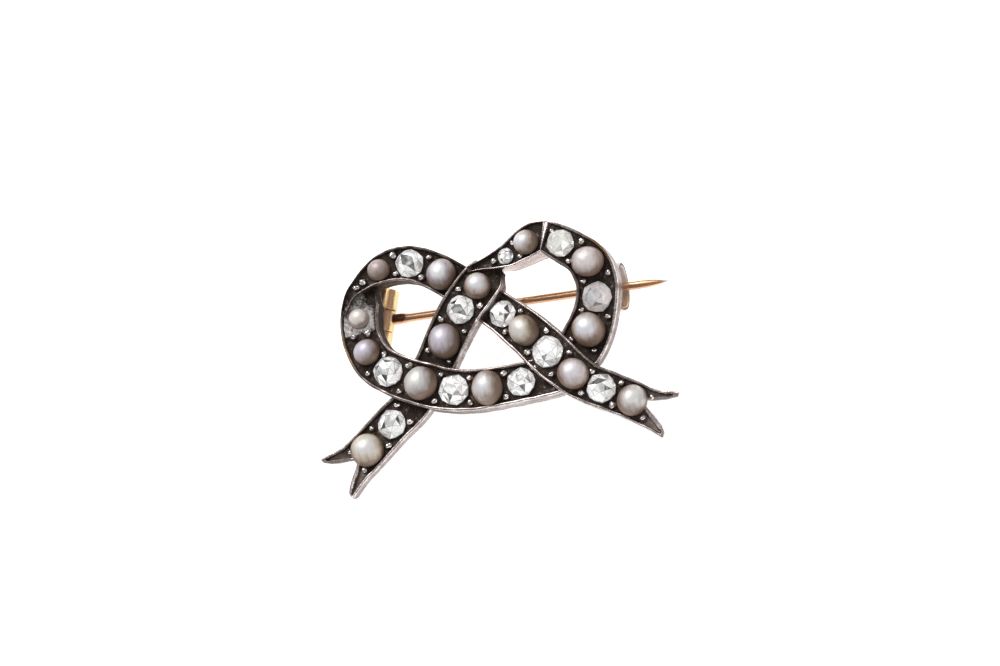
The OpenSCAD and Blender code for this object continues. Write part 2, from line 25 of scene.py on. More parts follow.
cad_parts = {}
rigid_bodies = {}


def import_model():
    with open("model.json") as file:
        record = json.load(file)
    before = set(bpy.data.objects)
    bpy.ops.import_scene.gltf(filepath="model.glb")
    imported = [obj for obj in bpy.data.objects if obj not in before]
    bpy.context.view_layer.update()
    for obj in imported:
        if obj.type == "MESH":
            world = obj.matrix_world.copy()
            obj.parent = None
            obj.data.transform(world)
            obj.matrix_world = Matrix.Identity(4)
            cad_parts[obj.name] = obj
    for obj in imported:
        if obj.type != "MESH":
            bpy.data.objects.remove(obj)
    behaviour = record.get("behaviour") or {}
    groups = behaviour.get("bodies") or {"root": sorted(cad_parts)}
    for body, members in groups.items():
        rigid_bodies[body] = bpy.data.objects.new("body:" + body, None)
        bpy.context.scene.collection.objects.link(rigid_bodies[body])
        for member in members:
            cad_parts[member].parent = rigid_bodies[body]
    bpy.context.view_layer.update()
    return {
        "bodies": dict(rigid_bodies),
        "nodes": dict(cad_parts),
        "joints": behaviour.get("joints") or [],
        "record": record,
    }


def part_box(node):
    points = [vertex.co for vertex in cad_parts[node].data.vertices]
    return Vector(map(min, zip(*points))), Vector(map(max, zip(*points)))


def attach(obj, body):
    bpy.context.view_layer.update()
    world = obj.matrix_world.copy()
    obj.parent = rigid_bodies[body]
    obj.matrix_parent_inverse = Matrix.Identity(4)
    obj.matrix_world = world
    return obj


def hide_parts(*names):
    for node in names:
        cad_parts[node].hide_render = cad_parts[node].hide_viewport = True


Array = np.ndarray
Axes = tuple[float, float, float]
Colour = tuple[float, float, float]

MM = 0.001  # metres
BODY, PIN_BODY = "brooch", "pin"
UP = np.array([0.0, 0.0, 1.0])
WHITE: Colour = (1.0, 1.0, 1.0)
log = logging.getLogger("bow_brooch")


# ---------------------------------------------------------------------------------------------------
# Surfaces as arrays
# ---------------------------------------------------------------------------------------------------


@dataclass
class Patch:
    """A surface before it is a mesh.

    Attributes:
        points: Places, one row each.
        faces: Three or four point numbers for each face.
        values: Named numbers, one for each point, which the mesh keeps as its attributes.
        face_values: Named numbers, one for each face.
        corner_vectors: Named vectors, one for each corner of each face.
    """

    points: Array
    faces: Array
    values: dict[str, Array] = field(default_factory=dict)
    face_values: dict[str, Array] = field(default_factory=dict)
    corner_vectors: dict[str, Array] = field(default_factory=dict)


def grid(points: Array, values: dict[str, Any], round_columns: bool = True) -> Patch:
    """Makes a patch of a grid of points: face (i, j) joins points (i, j), (i, j+1), (i+1, j+1) and (i+1, j).

    Args:
        points: Places with shape (rows, columns, 3).
        values: Named numbers, or arrays that spread to the shape (rows, columns).
        round_columns: Whether the last column joins the first.

    Returns:
        The patch, its points in reading order.
    """
    n, m = points.shape[:2]
    i, j = np.meshgrid(np.arange(n - 1), np.arange(m if round_columns else m - 1), indexing="ij")
    k = (j + 1) % m
    faces = np.stack([i * m + j, i * m + k, (i + 1) * m + k, (i + 1) * m + j], -1).reshape(-1, 4)
    flat = {name: np.broadcast_to(v, (n, m)).reshape(-1) for name, v in values.items()}
    return Patch(points.reshape(-1, 3), faces, flat)


def join(patches: Sequence[Patch]) -> Patch:
    """Puts patches with the same named values side by side in one, their points still apart.

    Args:
        patches: The patches.

    Returns:
        One patch with all their points and faces.
    """
    starts = np.cumsum([0] + [len(p.points) for p in patches[:-1]])
    return Patch(
        np.concatenate([p.points for p in patches]),
        np.concatenate([p.faces + s for p, s in zip(patches, starts)]),
        {name: np.concatenate([p.values[name] for p in patches]) for name in patches[0].values},
    )


def stand(name: str, data: Any) -> bpy.types.Object:
    """Puts a mesh, light or camera in the scene.

    Args:
        name: The new object's name.
        data: What it shows.

    Returns:
        The object, at the origin.
    """
    thing = bpy.data.objects.new(name, data)
    bpy.context.scene.collection.objects.link(thing)
    return thing


def make_piece(name: str, patch: Patch, smooth_deg: float) -> bpy.types.Object:
    """Turns a patch into a closed mesh object whose place is in its mesh.

    Points that lie on each other are merged, so seams and poles close, and faces are turned outward.

    Args:
        name: The piece's name.
        patch: Its surface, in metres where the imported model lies.
        smooth_deg: Faces that meet at less than this angle are shaded as one; at 0, none are.

    Returns:
        The new object, at the origin.
    """
    mesh = bpy.data.meshes.new(name)
    mesh.from_pydata(patch.points, [], patch.faces.tolist())
    for domain, kind, key, values in (
        ("POINT", "FLOAT", "value", patch.values),
        ("FACE", "FLOAT", "value", patch.face_values),
        ("CORNER", "FLOAT_VECTOR", "vector", patch.corner_vectors),
    ):
        for label, value in values.items():
            flat = np.ascontiguousarray(value, dtype=np.float32).reshape(-1)
            mesh.attributes.new(label, kind, domain).data.foreach_set(key, flat)
    bm = bmesh.new()
    bm.from_mesh(mesh)
    bmesh.ops.remove_doubles(bm, verts=bm.verts, dist=2e-7)
    bmesh.ops.recalc_face_normals(bm, faces=bm.faces)
    bm.to_mesh(mesh)
    bm.free()
    mesh.polygons.foreach_set("use_smooth", np.full(len(mesh.polygons), smooth_deg > 0))
    if smooth_deg:
        mesh.set_sharp_from_angle(angle=math.radians(smooth_deg))
    mesh.update()
    return stand(name, mesh)


def corner_points(node: bpy.types.Object) -> Array:
    """Reads the points of a solid's mesh.

    Args:
        node: The solid.

    Returns:
        Places, one row each.
    """
    p = np.zeros(len(node.data.vertices) * 3)
    node.data.vertices.foreach_get("co", p)
    return p.reshape(-1, 3)


def unit(v: Array) -> Array:
    """Scales vectors, held in the last axis, to length one."""
    return v / np.linalg.norm(v, axis=-1, keepdims=True)


def ease(x: Array) -> Array:
    """Goes smoothly from 0 to 1 as x does, and stays there: 3x^2 - 2x^3 of x clipped to 0..1."""
    t = np.clip(x, 0.0, 1.0)
    return t * t * (3.0 - 2.0 * t)


def blunt(x: Array, power: float) -> Array:
    """The sign of x times its size to a power below 1, which turns a circle's sine into a rounded box's."""
    return np.sign(x) * np.abs(x) ** power


def circle(count: int) -> Array:
    """Angles of equal parts of a full circle, in radians."""
    return np.arange(count) * 2 * np.pi / count


def wobble(p: Array, size: float, seed: float = 0.0) -> Array:
    """A soft unevenness of about -1 to 1: the mean of six sine waves that run in set directions through p.

    Args:
        p: Places with shape (..., 3).
        size: Length of its bumps, in the units of p.
        seed: Moves the waves, so that pieces differ.

    Returns:
        One number for each place.
    """
    k = np.arange(6)
    way = unit(np.stack([np.sin(2.4 * k + 0.3), np.cos(1.7 * k + 1.1), np.sin(3.1 * k + 2.0)], -1))
    phase = 1.9 * k + seed * (1.3 + k)
    scale = 2 * np.pi / size * (0.7 + 0.23 * k)
    return np.sin(p @ way.T * scale + phase).mean(-1) * 1.6


def dome(turns: int, rings: int) -> tuple[Array, Array]:
    """Angles of a grid over a sphere's cap.

    Args:
        turns: Parts of the full circle.
        rings: Rings from the top to the rim.

    Returns:
        The share of the way down and the angle around, each with shape (rings + 1, turns).
    """
    down, around = np.meshgrid(np.linspace(0, 1, rings + 1), circle(turns), indexing="ij")
    return down, around


def spun(profile: Array, turns: int, wave: float = 0.0, seed: float = 0.0) -> tuple[Array, Array]:
    """A surface of revolution about X: point = (x, r cos a, r sin a), with r made uneven by wave.

    Args:
        profile: Rows of x and r, from one end to the other; an r of 0 closes the end.
        turns: Parts of the full circle.
        wave: Unevenness as a share of r.
        seed: Makes the unevenness its own.

    Returns:
        The points with shape (rows, turns, 3) and the angle a of each.
    """
    x, angle = np.meshgrid(profile[:, 0], circle(turns), indexing="ij")
    r = np.broadcast_to(profile[:, 1:2], x.shape)
    p = np.stack([x, r * np.cos(angle), r * np.sin(angle)], -1)
    r = r * (1 + wave * wobble(p, 0.8, seed))
    return np.stack([x, r * np.cos(angle), r * np.sin(angle)], -1), angle


def slab(along: Sequence[float], half_w: float, half_h: float, shoulder: float) -> Array:
    """A plate with rounded corners: six rings of a blunted circle, the outer two closed to a point.

    Args:
        along: Place of each ring.
        half_w: Half its width.
        half_h: Half its height.
        shoulder: Size of the rings next to the ends, as a share of the middle ones'.

    Returns:
        Places along, across and up, with shape (6, 40, 3).
    """
    grow = np.array([0.0, shoulder, 1.0, 1.0, shoulder, 0.0])[:, None]
    a = circle(40)
    wide, high = (blunt(x, 0.25) * grow * half for x, half in ((np.cos(a), half_w), (np.sin(a), half_h)))
    return np.stack([np.broadcast_to(np.array(along)[:, None], wide.shape), wide, high], -1)


# ---------------------------------------------------------------------------------------------------
# Shader maths
# ---------------------------------------------------------------------------------------------------


class Graph:
    """The nodes of one material, and the one way in which nodes are added to it."""

    def __init__(self, name: str) -> None:
        """Makes the material with its surface shader.

        Args:
            name: The material's name.
        """
        self.material = bpy.data.materials.new(name)
        self.material.use_nodes = True
        self.nodes = self.material.node_tree.nodes
        self.links = self.material.node_tree.links
        self.shader = self.nodes["Principled BSDF"]

    def add(self, kind: str, settings: dict[str, Any] | None = None, **inputs: Any) -> bpy.types.Node:
        """Adds a node.

        Args:
            kind: Blender's name of the node's type.
            settings: Its settings, set before its inputs; "stops" is a ramp's list of (place, colour).
            **inputs: Values or sockets for its inputs, by name with _ for a space, or by number as in_0.

        Returns:
            The node.
        """
        node = self.nodes.new(kind)
        for key, value in (settings or {}).items():
            if key == "stops":
                self._fill_ramp(node.color_ramp, value)
            else:
                setattr(node, key, value)
        for key, value in inputs.items():
            self.plug(node.inputs[int(key[3:]) if key.startswith("in_") else key.replace("_", " ")], value)
        return node

    @staticmethod
    def _fill_ramp(ramp: bpy.types.ColorRamp, stops: Sequence[tuple[float, Colour]]) -> None:
        """Gives a ramp its stops.

        Args:
            ramp: The ramp, which has two stops at first.
            stops: Place and colour of each stop.
        """
        while len(ramp.elements) < len(stops):
            ramp.elements.new(0.5)
        for element, (place, colour) in zip(ramp.elements, stops):
            element.position = place
            element.color = (*colour, 1.0)

    def plug(self, socket: bpy.types.NodeSocket, value: Any) -> None:
        """Links a socket to a Value or another socket, or sets its number or colour.

        Args:
            socket: The input.
            value: What goes into it.
        """
        if isinstance(value, (Value, bpy.types.NodeSocket)):
            self.links.new(getattr(value, "socket", value), socket)
        elif isinstance(value, tuple) and socket.type == "RGBA":
            socket.default_value = (*value, 1.0)
        else:
            socket.default_value = value

    def attribute(self, name: str) -> Value:
        """Reads a number that the mesh holds for each point or face."""
        return Value(self, self.add("ShaderNodeAttribute", {"attribute_name": name}).outputs["Fac"])

    def parts(self, name: str) -> list[Value]:
        """Reads the three numbers of a vector that the mesh holds for each corner."""
        vector = self.add("ShaderNodeAttribute", {"attribute_name": name}).outputs["Vector"]
        return [Value(self, x) for x in self.add("ShaderNodeSeparateXYZ", None, Vector=vector).outputs]

    def place(self) -> bpy.types.NodeSocket:
        """The point's place on the piece."""
        return self.add("ShaderNodeTexCoord").outputs["Object"]

    def noise(
        self,
        per_mm: float,
        detail: float,
        rough: float = 0.55,
        twist: float = 0.0,
        stretch: Axes | None = None,
    ) -> Value:
        """Cloudy noise of 0 to 1.

        Args:
            per_mm: Bumps in a millimetre.
            detail: Finer layers.
            rough: Weight of those.
            twist: How far it is stirred.
            stretch: Scale along each axis, for bumps that are drawn out.

        Returns:
            Its value.
        """
        spot = self.place()
        if stretch:
            spot = self.add("ShaderNodeMapping", None, Vector=spot, Scale=stretch).outputs["Vector"]
        node = self.add("ShaderNodeTexNoise", None, Vector=spot, Scale=per_mm / MM, Detail=detail,
                        Roughness=rough, Distortion=twist)
        return Value(self, node.outputs["Fac"])

    def blend(self, a: Any, b: Any, share: Any) -> bpy.types.NodeSocket:
        """A colour between a and b: a where share is 0, b where it is 1."""
        return self.add("ShaderNodeMix", {"data_type": "RGBA"}, in_0=share, in_6=a, in_7=b).outputs[2]

    def ramp(self, share: Any, stops: Sequence[tuple[float, Colour]]) -> bpy.types.NodeSocket:
        """A colour read from stops by a number of 0 to 1."""
        return self.add("ShaderNodeValToRGB", {"stops": stops}, Fac=share).outputs["Color"]

    def bump(self, height: Any, strength: float, depth_mm: float) -> None:
        """Raises the surface's shading by a height, whose 1 stands for a depth in millimetres."""
        node = self.add("ShaderNodeBump", None, Height=height, Strength=strength, Distance=depth_mm * MM)
        self.links.new(node.outputs["Normal"], self.shader.inputs["Normal"])

    def coat(self, **inputs: Any) -> None:
        """Sets inputs of the surface shader, by name with _ for a space."""
        for key, value in inputs.items():
            self.plug(self.shader.inputs[key.replace("_", " ")], value)


@dataclass(frozen=True)
class Value:
    """A number that varies over a surface: sums and products of it add Math nodes."""

    graph: Graph
    socket: bpy.types.NodeSocket

    def _math(self, operation: str, a: Any, b: Any, clamp: bool = False) -> Value:
        """Adds one Math node.

        Args:
            operation: Blender's name of the operation.
            a: First value.
            b: Second value.
            clamp: Whether the result stays within 0 and 1.

        Returns:
            The result.
        """
        node = self.graph.add("ShaderNodeMath", {"operation": operation, "use_clamp": clamp}, in_0=a, in_1=b)
        return Value(self.graph, node.outputs[0])

    def __add__(self, other: Any) -> Value:
        """Adds."""
        return self._math("ADD", self, other)

    __radd__ = __add__

    def __mul__(self, other: Any) -> Value:
        """Multiplies."""
        return self._math("MULTIPLY", self, other)

    __rmul__ = __mul__

    def __sub__(self, other: Any) -> Value:
        """Subtracts."""
        return self._math("SUBTRACT", self, other)

    def __rsub__(self, other: Any) -> Value:
        """Subtracts this from other."""
        return self._math("SUBTRACT", other, self)

    def least(self, other: Any) -> Value:
        """The smaller of this and other."""
        return self._math("MINIMUM", self, other)

    def clamp(self) -> Value:
        """Keeps it within 0 and 1."""
        return self._math("ADD", self, 0.0, clamp=True)

    def step(self, low: float, high: float) -> Value:
        """Goes from 0 at low to 1 at high and stays there."""
        return ((self - low) * (1.0 / (high - low))).clamp()


# ---------------------------------------------------------------------------------------------------
# Finishes
# ---------------------------------------------------------------------------------------------------


class Finish:
    """A look that can be laid on pieces; each kind paints it with its own nodes."""

    def paint(self, g: Graph) -> None:
        """Adds the finish's nodes to a material's graph."""
        raise NotImplementedError

    def material(self, name: str) -> bpy.types.Material:
        """Makes a material of its own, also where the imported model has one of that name.

        Args:
            name: The material's name.

        Returns:
            The material.
        """
        g = Graph(name)
        self.paint(g)
        return g.material


@dataclass(frozen=True)
class OxidisedSilver(Finish):
    """Silver that is black in its channel and worn bright along its rims, with painted light and shade in how
    bright it is.

    Attributes:
        bright: Colour of worn silver.
        shine: Colour of its brightest spots: the most worn, and the painted glints.
        polish: Roughness where it is worn.
        dull: Roughness of the black skin.
        soot: Colour of the black skin.
        stain: Colour of the gilt patches.
    """

    bright: Colour = (0.56, 0.480, 0.462)
    shine: Colour = (0.82, 0.745, 0.725)
    polish: float = 0.26
    dull: float = 0.78
    soot: Colour = (0.052, 0.038, 0.031)
    stain: Colour = (0.36, 0.225, 0.120)

    def paint(self, g: Graph) -> None:
        """Blends soot to silver by "worn" (wear with painted light and shade), noise and painted glints, and
        gilds it where "warm" is high.

        Args:
            g: The material's graph.
        """
        worn, cloud, fine = g.attribute("worn"), g.noise(1.6, 4.0), g.noise(7.0, 4.0)
        # glints: small spots of painted highlight
        glints = g.noise(3.4, 2.0).step(0.60, 0.76) * 0.30
        specks = g.noise(13.0, 2.0).step(0.60, 0.74) * 0.16
        share = (worn + glints + specks + (cloud - 0.5) * 0.50 + (fine - 0.5) * 0.34).step(0.14, 0.94)
        metal = g.ramp(share, [(0.0, self.soot), (0.16, (0.125, 0.096, 0.083)), (0.50, (0.255, 0.210, 0.195)),
                               (0.80, self.bright), (1.0, self.shine)])
        gilt = (g.attribute("warm") + (fine - 0.5) * 0.9).step(0.30, 0.75) * 0.85
        g.bump(fine * 0.6 + cloud * 0.7, 0.32, 0.06)
        rough = (fine - 0.5) * 0.16 + (self.dull - share.step(0.0, 0.6) * (self.dull - self.polish))
        g.coat(Base_Color=g.blend(metal, self.stain, gilt), Metallic=share * 0.3 + 0.70, Roughness=rough,
               Specular_IOR_Level=0.25)


@dataclass(frozen=True)
class Nacre(Finish):
    """The skin of a half pearl, lighter at its crown and darker on its flanks as painted light and shade,
    with brown dirt and painted shade where it sits in the silver.

    Attributes:
        tint: Colour of its crown.
        shade: Colour of its flanks, darker as painted shade.
        dirt_and_shade: How far up the dirt and its painted shade climb, 0 to 1.
        pits: How worn its skin is, 0 to 1.
        edge: Colour of the dirt and of the painted shade at its base.
        pit: Colour in its pits.
    """

    tint: Colour
    shade: Colour
    dirt_and_shade: float
    pits: float = 0.0
    edge: Colour = (0.20, 0.120, 0.078)
    pit: Colour = (0.16, 0.13, 0.12)

    def paint(self, g: Graph) -> None:
        """Bands of colour from the crown to the girdle ("low"), painted lighter at the crown and shaded
        toward the base, stirred by noise and painted reflection streaks, under a soft coat.

        Args:
            g: The material's graph.
        """
        low, cloud, fine = g.attribute("low"), g.noise(0.9, 2.0), g.noise(5.5, 3.0)
        # Painted reflections: soft streaks drawn out across the pearl
        painted_streaks = g.noise(1.6, 2.0, 0.5, stretch=(3.0, 0.5, 1.0))
        depth = (low + (cloud - 0.5) * 0.36 + (painted_streaks - 0.5) * 0.24).clamp()
        rim = 0.93 - self.dirt_and_shade
        # Painted light and shade: tint at the crown, shade on the flanks, edge at the base
        body = g.ramp(depth, [(0.0, self.tint), (0.16, self.tint), (0.40, self.shade), (0.62, self.edge)])
        # Dirt at the base, darkened further as painted shade
        dirt_and_shade = (depth + (fine - 0.5) * 0.2).step(rim - 0.14, rim + 0.16)
        colour = g.blend(body, self.edge, dirt_and_shade * 0.9)
        if self.pits:
            cells = g.add("ShaderNodeTexVoronoi", None, Vector=g.place(), Scale=3.2 / MM).outputs["Distance"]
            spots = Value(g, cells).step(0.16, 0.05) * fine.step(0.42, 0.62) * self.pits
            colour = g.blend(colour, self.pit, spots)
        g.bump(cloud * 0.7 + fine * (0.15 + 0.6 * self.pits), 0.25 + 0.3 * self.pits, 0.06)
        g.coat(Base_Color=colour, Roughness=0.40 + dirt_and_shade * 0.2 + fine * 0.1, IOR=1.8,
               Metallic=(1.0 - depth) * 0.25, Coat_Weight=(1.0 - depth) * 0.30, Coat_Roughness=0.36)


@dataclass(frozen=True)
class RoseCutStone(Finish):
    """An old rose cut, some cloudy: painted reflections and a painted glow stand for clear facets over a
    bright foil.

    Attributes:
        cloud: How milky it is, 0 to 1.
        tint: Colour of its facets.
    """

    cloud: float = 0.0
    tint: Colour = (0.99, 0.985, 0.98)

    def paint(self, g: Graph) -> None:
        """Each facet's own painted reflection ("light"), broken by painted inner reflections and painted
        shade along its seams, under a hard gloss and a glow of painted light.

        Args:
            g: The material's graph.
        """
        milk = self.cloud
        light, haze, inner = g.attribute("light"), g.noise(3.0, 4.0), g.noise(1.1, 1.0, 0.4, 1.5)
        x, y, z = g.parts("seam")
        # Painted shade along the facets' edges
        seam = x.least(y).least(z).step(0.01, 0.10)
        # Painted reflections: the facet's light, broken by painted inner reflections from the noise "inner",
        # greyer when cloudy
        grey = light * (0.85 - 0.40 * milk) + 0.26 * milk + (inner - 0.5) * (0.8 - 0.6 * milk)
        grey = (grey + (haze - 0.5) * 0.5 * milk).clamp()
        grey = grey * (seam * (0.42 - 0.22 * milk) + (0.58 + 0.22 * milk))
        colour = g.ramp(grey, [(0.04, (0.035, 0.035, 0.038)), (0.24, (0.20, 0.20, 0.205)),
                               (0.45, (0.58, 0.58, 0.58)), (0.64, self.tint)])
        g.bump(haze * 0.5 * milk + light * 0.1, 0.12 + 0.5 * milk, 0.05)
        # The emission is a glow of painted light, weaker when cloudy
        g.coat(Base_Color=colour, Roughness=0.05 + haze * 0.05 + milk * 0.28, IOR=2.0, Coat_Weight=0.7,
               Metallic=(1.0 - haze * 0.5) * (0.26 - 0.24 * milk), Coat_IOR=1.7, Coat_Roughness=0.03,
               Emission_Color=colour, Emission_Strength=0.38 - 0.24 * milk)


@dataclass(frozen=True)
class GreyCement(Finish):
    """Rough grey filling with white and black specks."""

    light: Colour = (0.70, 0.660, 0.640)
    dark: Colour = (0.045, 0.040, 0.038)

    def paint(self, g: Graph) -> None:
        """Cracks and specks from stirred noise, paler where the mesh's "pale" is high.

        Args:
            g: The material's graph.
        """
        lumps, specks = g.noise(1.7, 6.0, 0.72, 0.8), g.noise(6.0, 4.0, 0.6)
        mix = (g.attribute("pale") + (lumps - 0.5) * 2.0 + (specks - 0.5) * 1.5).clamp()
        colour = g.ramp(mix, [(0.10, self.dark), (0.30, (0.20, 0.185, 0.175)), (0.52, (0.42, 0.40, 0.385)),
                              (0.72, self.light), (0.92, (0.88, 0.87, 0.85))])
        g.bump(mix, 0.9, 0.16)
        g.coat(Base_Color=colour, Roughness=0.45 + specks * 0.3, Coat_Weight=0.15, Coat_Roughness=0.2)


class Tone(Enum):
    """The golds of the brooch: clean colour, tarnish and roughness."""

    YELLOW = ((0.90, 0.69, 0.38), (0.36, 0.21, 0.085), 0.26)
    ROSE = ((0.80, 0.475, 0.29), (0.13, 0.050, 0.026), 0.24)
    SILVERED = ((0.80, 0.75, 0.735), (0.16, 0.135, 0.125), 0.36)


@dataclass(frozen=True)
class WornGold(Finish):
    """Gold with drawn lines, tarnish in its seams with painted shade and shadow in places, and another metal
    where it is worn through.

    Attributes:
        tone: Which gold it is.
        drawn: Scale of the drawn lines along X, Y and Z; the smallest is the way in which they run.
        other: The metal that shows where the mesh's "second" value is 1.
    """

    tone: Tone = Tone.YELLOW
    drawn: Axes = (1.0, 0.1, 1.0)
    other: Tone = Tone.SILVERED

    def paint(self, g: Graph) -> None:
        """Darkens it by tarnish with painted shade ("grime") and turns it to the other metal by "second",
        both broken up by noise.

        Args:
            g: The material's graph.
        """
        clean, tarnish, rough = self.tone.value
        clean_2, tarnish_2, _ = self.other.value
        lines, cloud = g.noise(5.0, 3.0, 0.5, stretch=self.drawn), g.noise(1.2, 4.0)
        second = (g.attribute("second") + (cloud - 0.5) * 0.3).step(0.35, 0.65)
        grime = (g.attribute("grime") + (cloud - 0.5) * 0.34 + (lines - 0.5) * 0.22).step(0.22, 0.86)
        top, low = g.blend(clean, clean_2, second), g.blend(tarnish, tarnish_2, second)
        g.bump(lines * 0.5 + cloud * 0.5, 0.22, 0.04)
        g.coat(Base_Color=g.blend(top, low, grime), Metallic=1.0 - grime * 0.35 - second * 0.45,
               Roughness=lines * 0.16 + (rough - 0.08) + grime * 0.22 + second * 0.20)


@dataclass(frozen=True)
class WhiteTable(Finish):
    """The plain white table, which glows a little so that shadows on it stay faint."""

    def paint(self, g: Graph) -> None:
        """Sets its white and its glow."""
        g.coat(Base_Color=(0.92, 0.92, 0.92), Roughness=0.7, Emission_Color=WHITE, Emission_Strength=0.81)


# ---------------------------------------------------------------------------------------------------
# The bow's layout
# ---------------------------------------------------------------------------------------------------


@dataclass(frozen=True)
class Sizes:
    """The brooch's named sizes, in millimetres, as its solids have them."""

    bow_l: float = 28.6
    bow_h: float = 19.6
    ribbon_w: float = 3.3
    ribbon_t: float = 1.7
    rim_w: float = 0.24
    floor_sink: float = 0.36
    notch_l: float = 1.5
    tip_w: float = 0.40
    stone_gap: float = 0.05
    seat_gap: float = 0.04
    run_gap: float = 0.04
    grain_d: float = 0.5
    grain_h: float = 0.5
    grain_out: float = 0.88  # share of the way from the middle to a rim
    cement_t: float = 0.34
    stem_drop: float = 1.6
    stem_d: float = 0.66
    point_l: float = 3.2
    root_l: float = 1.4
    root_d: float = 1.0
    root_in: float = 0.15
    knuckle_d: float = 1.7
    rivet_d: float = 0.6
    hinge_l: float = 5.0
    hinge_skew: float = 14.0  # degrees
    hinge_at: float = 10.2  # rows of the curve
    hinge_in: float = 0.55
    leg_w: float = 1.2
    catch_w: float = 1.7
    catch_h: float = 3.8
    catch_t: float = 0.34


class End(Enum):
    """How a length of ribbon ends, and how bright its edge is there; a hidden end's edge is painted dark as
    shade.
    """

    # painted shade: dark where the end goes under another length
    HIDDEN = 0.06
    TAPER = 0.34
    SWALLOW = 0.80


# Columns: along as a share of half the bow's length, up as a share of half its height, width as a share of
# the ribbon's, rims' height above the bow's plane and depth of the walls as shares of the ribbon's depth.
TAIL_ROWS = (
    (-0.932, -0.804, 1.28, 0.66, 0.56), (-0.840, -0.714, 1.02, 0.66, 0.56),
    (-0.767, -0.634, 0.98, 0.66, 0.54), (-0.600, -0.430, 0.97, 0.70, 0.54),
    (-0.472, -0.286, 0.96, 0.76, 0.56), (-0.332, -0.020, 1.00, 0.90, 0.60),
    (-0.245, 0.180, 1.03, 1.06, 0.64), (-0.147, 0.388, 1.06, 1.20, 0.70), (-0.029, 0.571, 1.05, 1.24, 0.80),
    (0.034, 0.643, 0.92, 1.18, 0.82), (0.094, 0.712, 0.66, 1.08, 0.84),
)
LOOP_ROWS = (
    (-0.085, 0.688, 0.12, 1.38, 0.60), (0.000, 0.712, 0.24, 1.42, 0.80), (0.080, 0.732, 0.42, 1.47, 1.00),
    (0.155, 0.758, 0.58, 1.52, 1.16), (0.230, 0.808, 0.72, 1.58, 1.30), (0.295, 0.850, 0.78, 1.64, 1.42),
    (0.361, 0.858, 0.74, 1.66, 1.50), (0.439, 0.794, 0.84, 1.58, 1.46), (0.512, 0.722, 0.88, 1.46, 1.34),
    (0.573, 0.641, 0.95, 1.34, 1.20), (0.607, 0.541, 0.99, 1.22, 1.02), (0.619, 0.420, 1.00, 1.14, 0.84),
    (0.603, 0.281, 1.02, 1.08, 0.72), (0.565, 0.133, 1.10, 1.00, 0.62), (0.510, 0.002, 1.16, 0.92, 0.60),
    (0.428, -0.175, 1.04, 0.88, 0.66),
)
CURVE_ROWS = (
    (0.428, -0.175, 1.02, 0.88, 0.80), (0.310, -0.218, 0.96, 0.92, 0.92), (0.165, -0.245, 0.92, 1.00, 1.00),
    (0.025, -0.258, 0.94, 1.06, 1.02), (-0.125, -0.260, 0.96, 1.12, 1.02), (-0.262, -0.228, 1.01, 1.18, 1.06),
    (-0.400, -0.158, 1.04, 1.20, 1.12), (-0.545, -0.058, 1.01, 1.12, 1.10), (-0.664, 0.072, 0.98, 1.04, 1.04),
    (-0.724, 0.250, 0.94, 1.00, 1.00), (-0.734, 0.430, 0.93, 1.00, 1.00), (-0.708, 0.590, 0.88, 1.00, 1.00),
    (-0.650, 0.700, 0.70, 1.00, 1.00),
)
FOLD_ROWS = (
    (-0.815, 0.468, 0.10, 1.20, 1.10), (-0.774, 0.614, 0.22, 1.22, 1.20), (-0.712, 0.698, 0.37, 1.23, 1.23),
    (-0.634, 0.770, 0.57, 1.23, 1.23), (-0.545, 0.818, 0.74, 1.20, 1.20), (-0.455, 0.826, 0.82, 1.14, 1.12),
    (-0.370, 0.796, 0.85, 1.06, 1.06), (-0.280, 0.728, 0.88, 0.98, 0.98), (-0.189, 0.635, 0.90, 0.90, 0.90),
    (-0.077, 0.508, 0.88, 0.81, 0.79),
)
SASH_ROWS = (
    (-0.077, 0.508, 0.91, 0.86, 0.86), (0.035, 0.367, 0.91, 0.88, 0.86), (0.126, 0.250, 0.97, 0.98, 0.88),
    (0.225, 0.108, 1.03, 1.08, 0.92), (0.316, -0.040, 1.08, 1.16, 1.00), (0.412, -0.190, 1.03, 1.20, 1.06),
    (0.510, -0.316, 0.93, 1.14, 1.00), (0.626, -0.406, 0.91, 1.00, 0.86), (0.749, -0.501, 0.90, 0.86, 0.72),
    (0.838, -0.581, 0.93, 0.76, 0.62), (0.937, -0.644, 1.11, 0.72, 0.60),
)


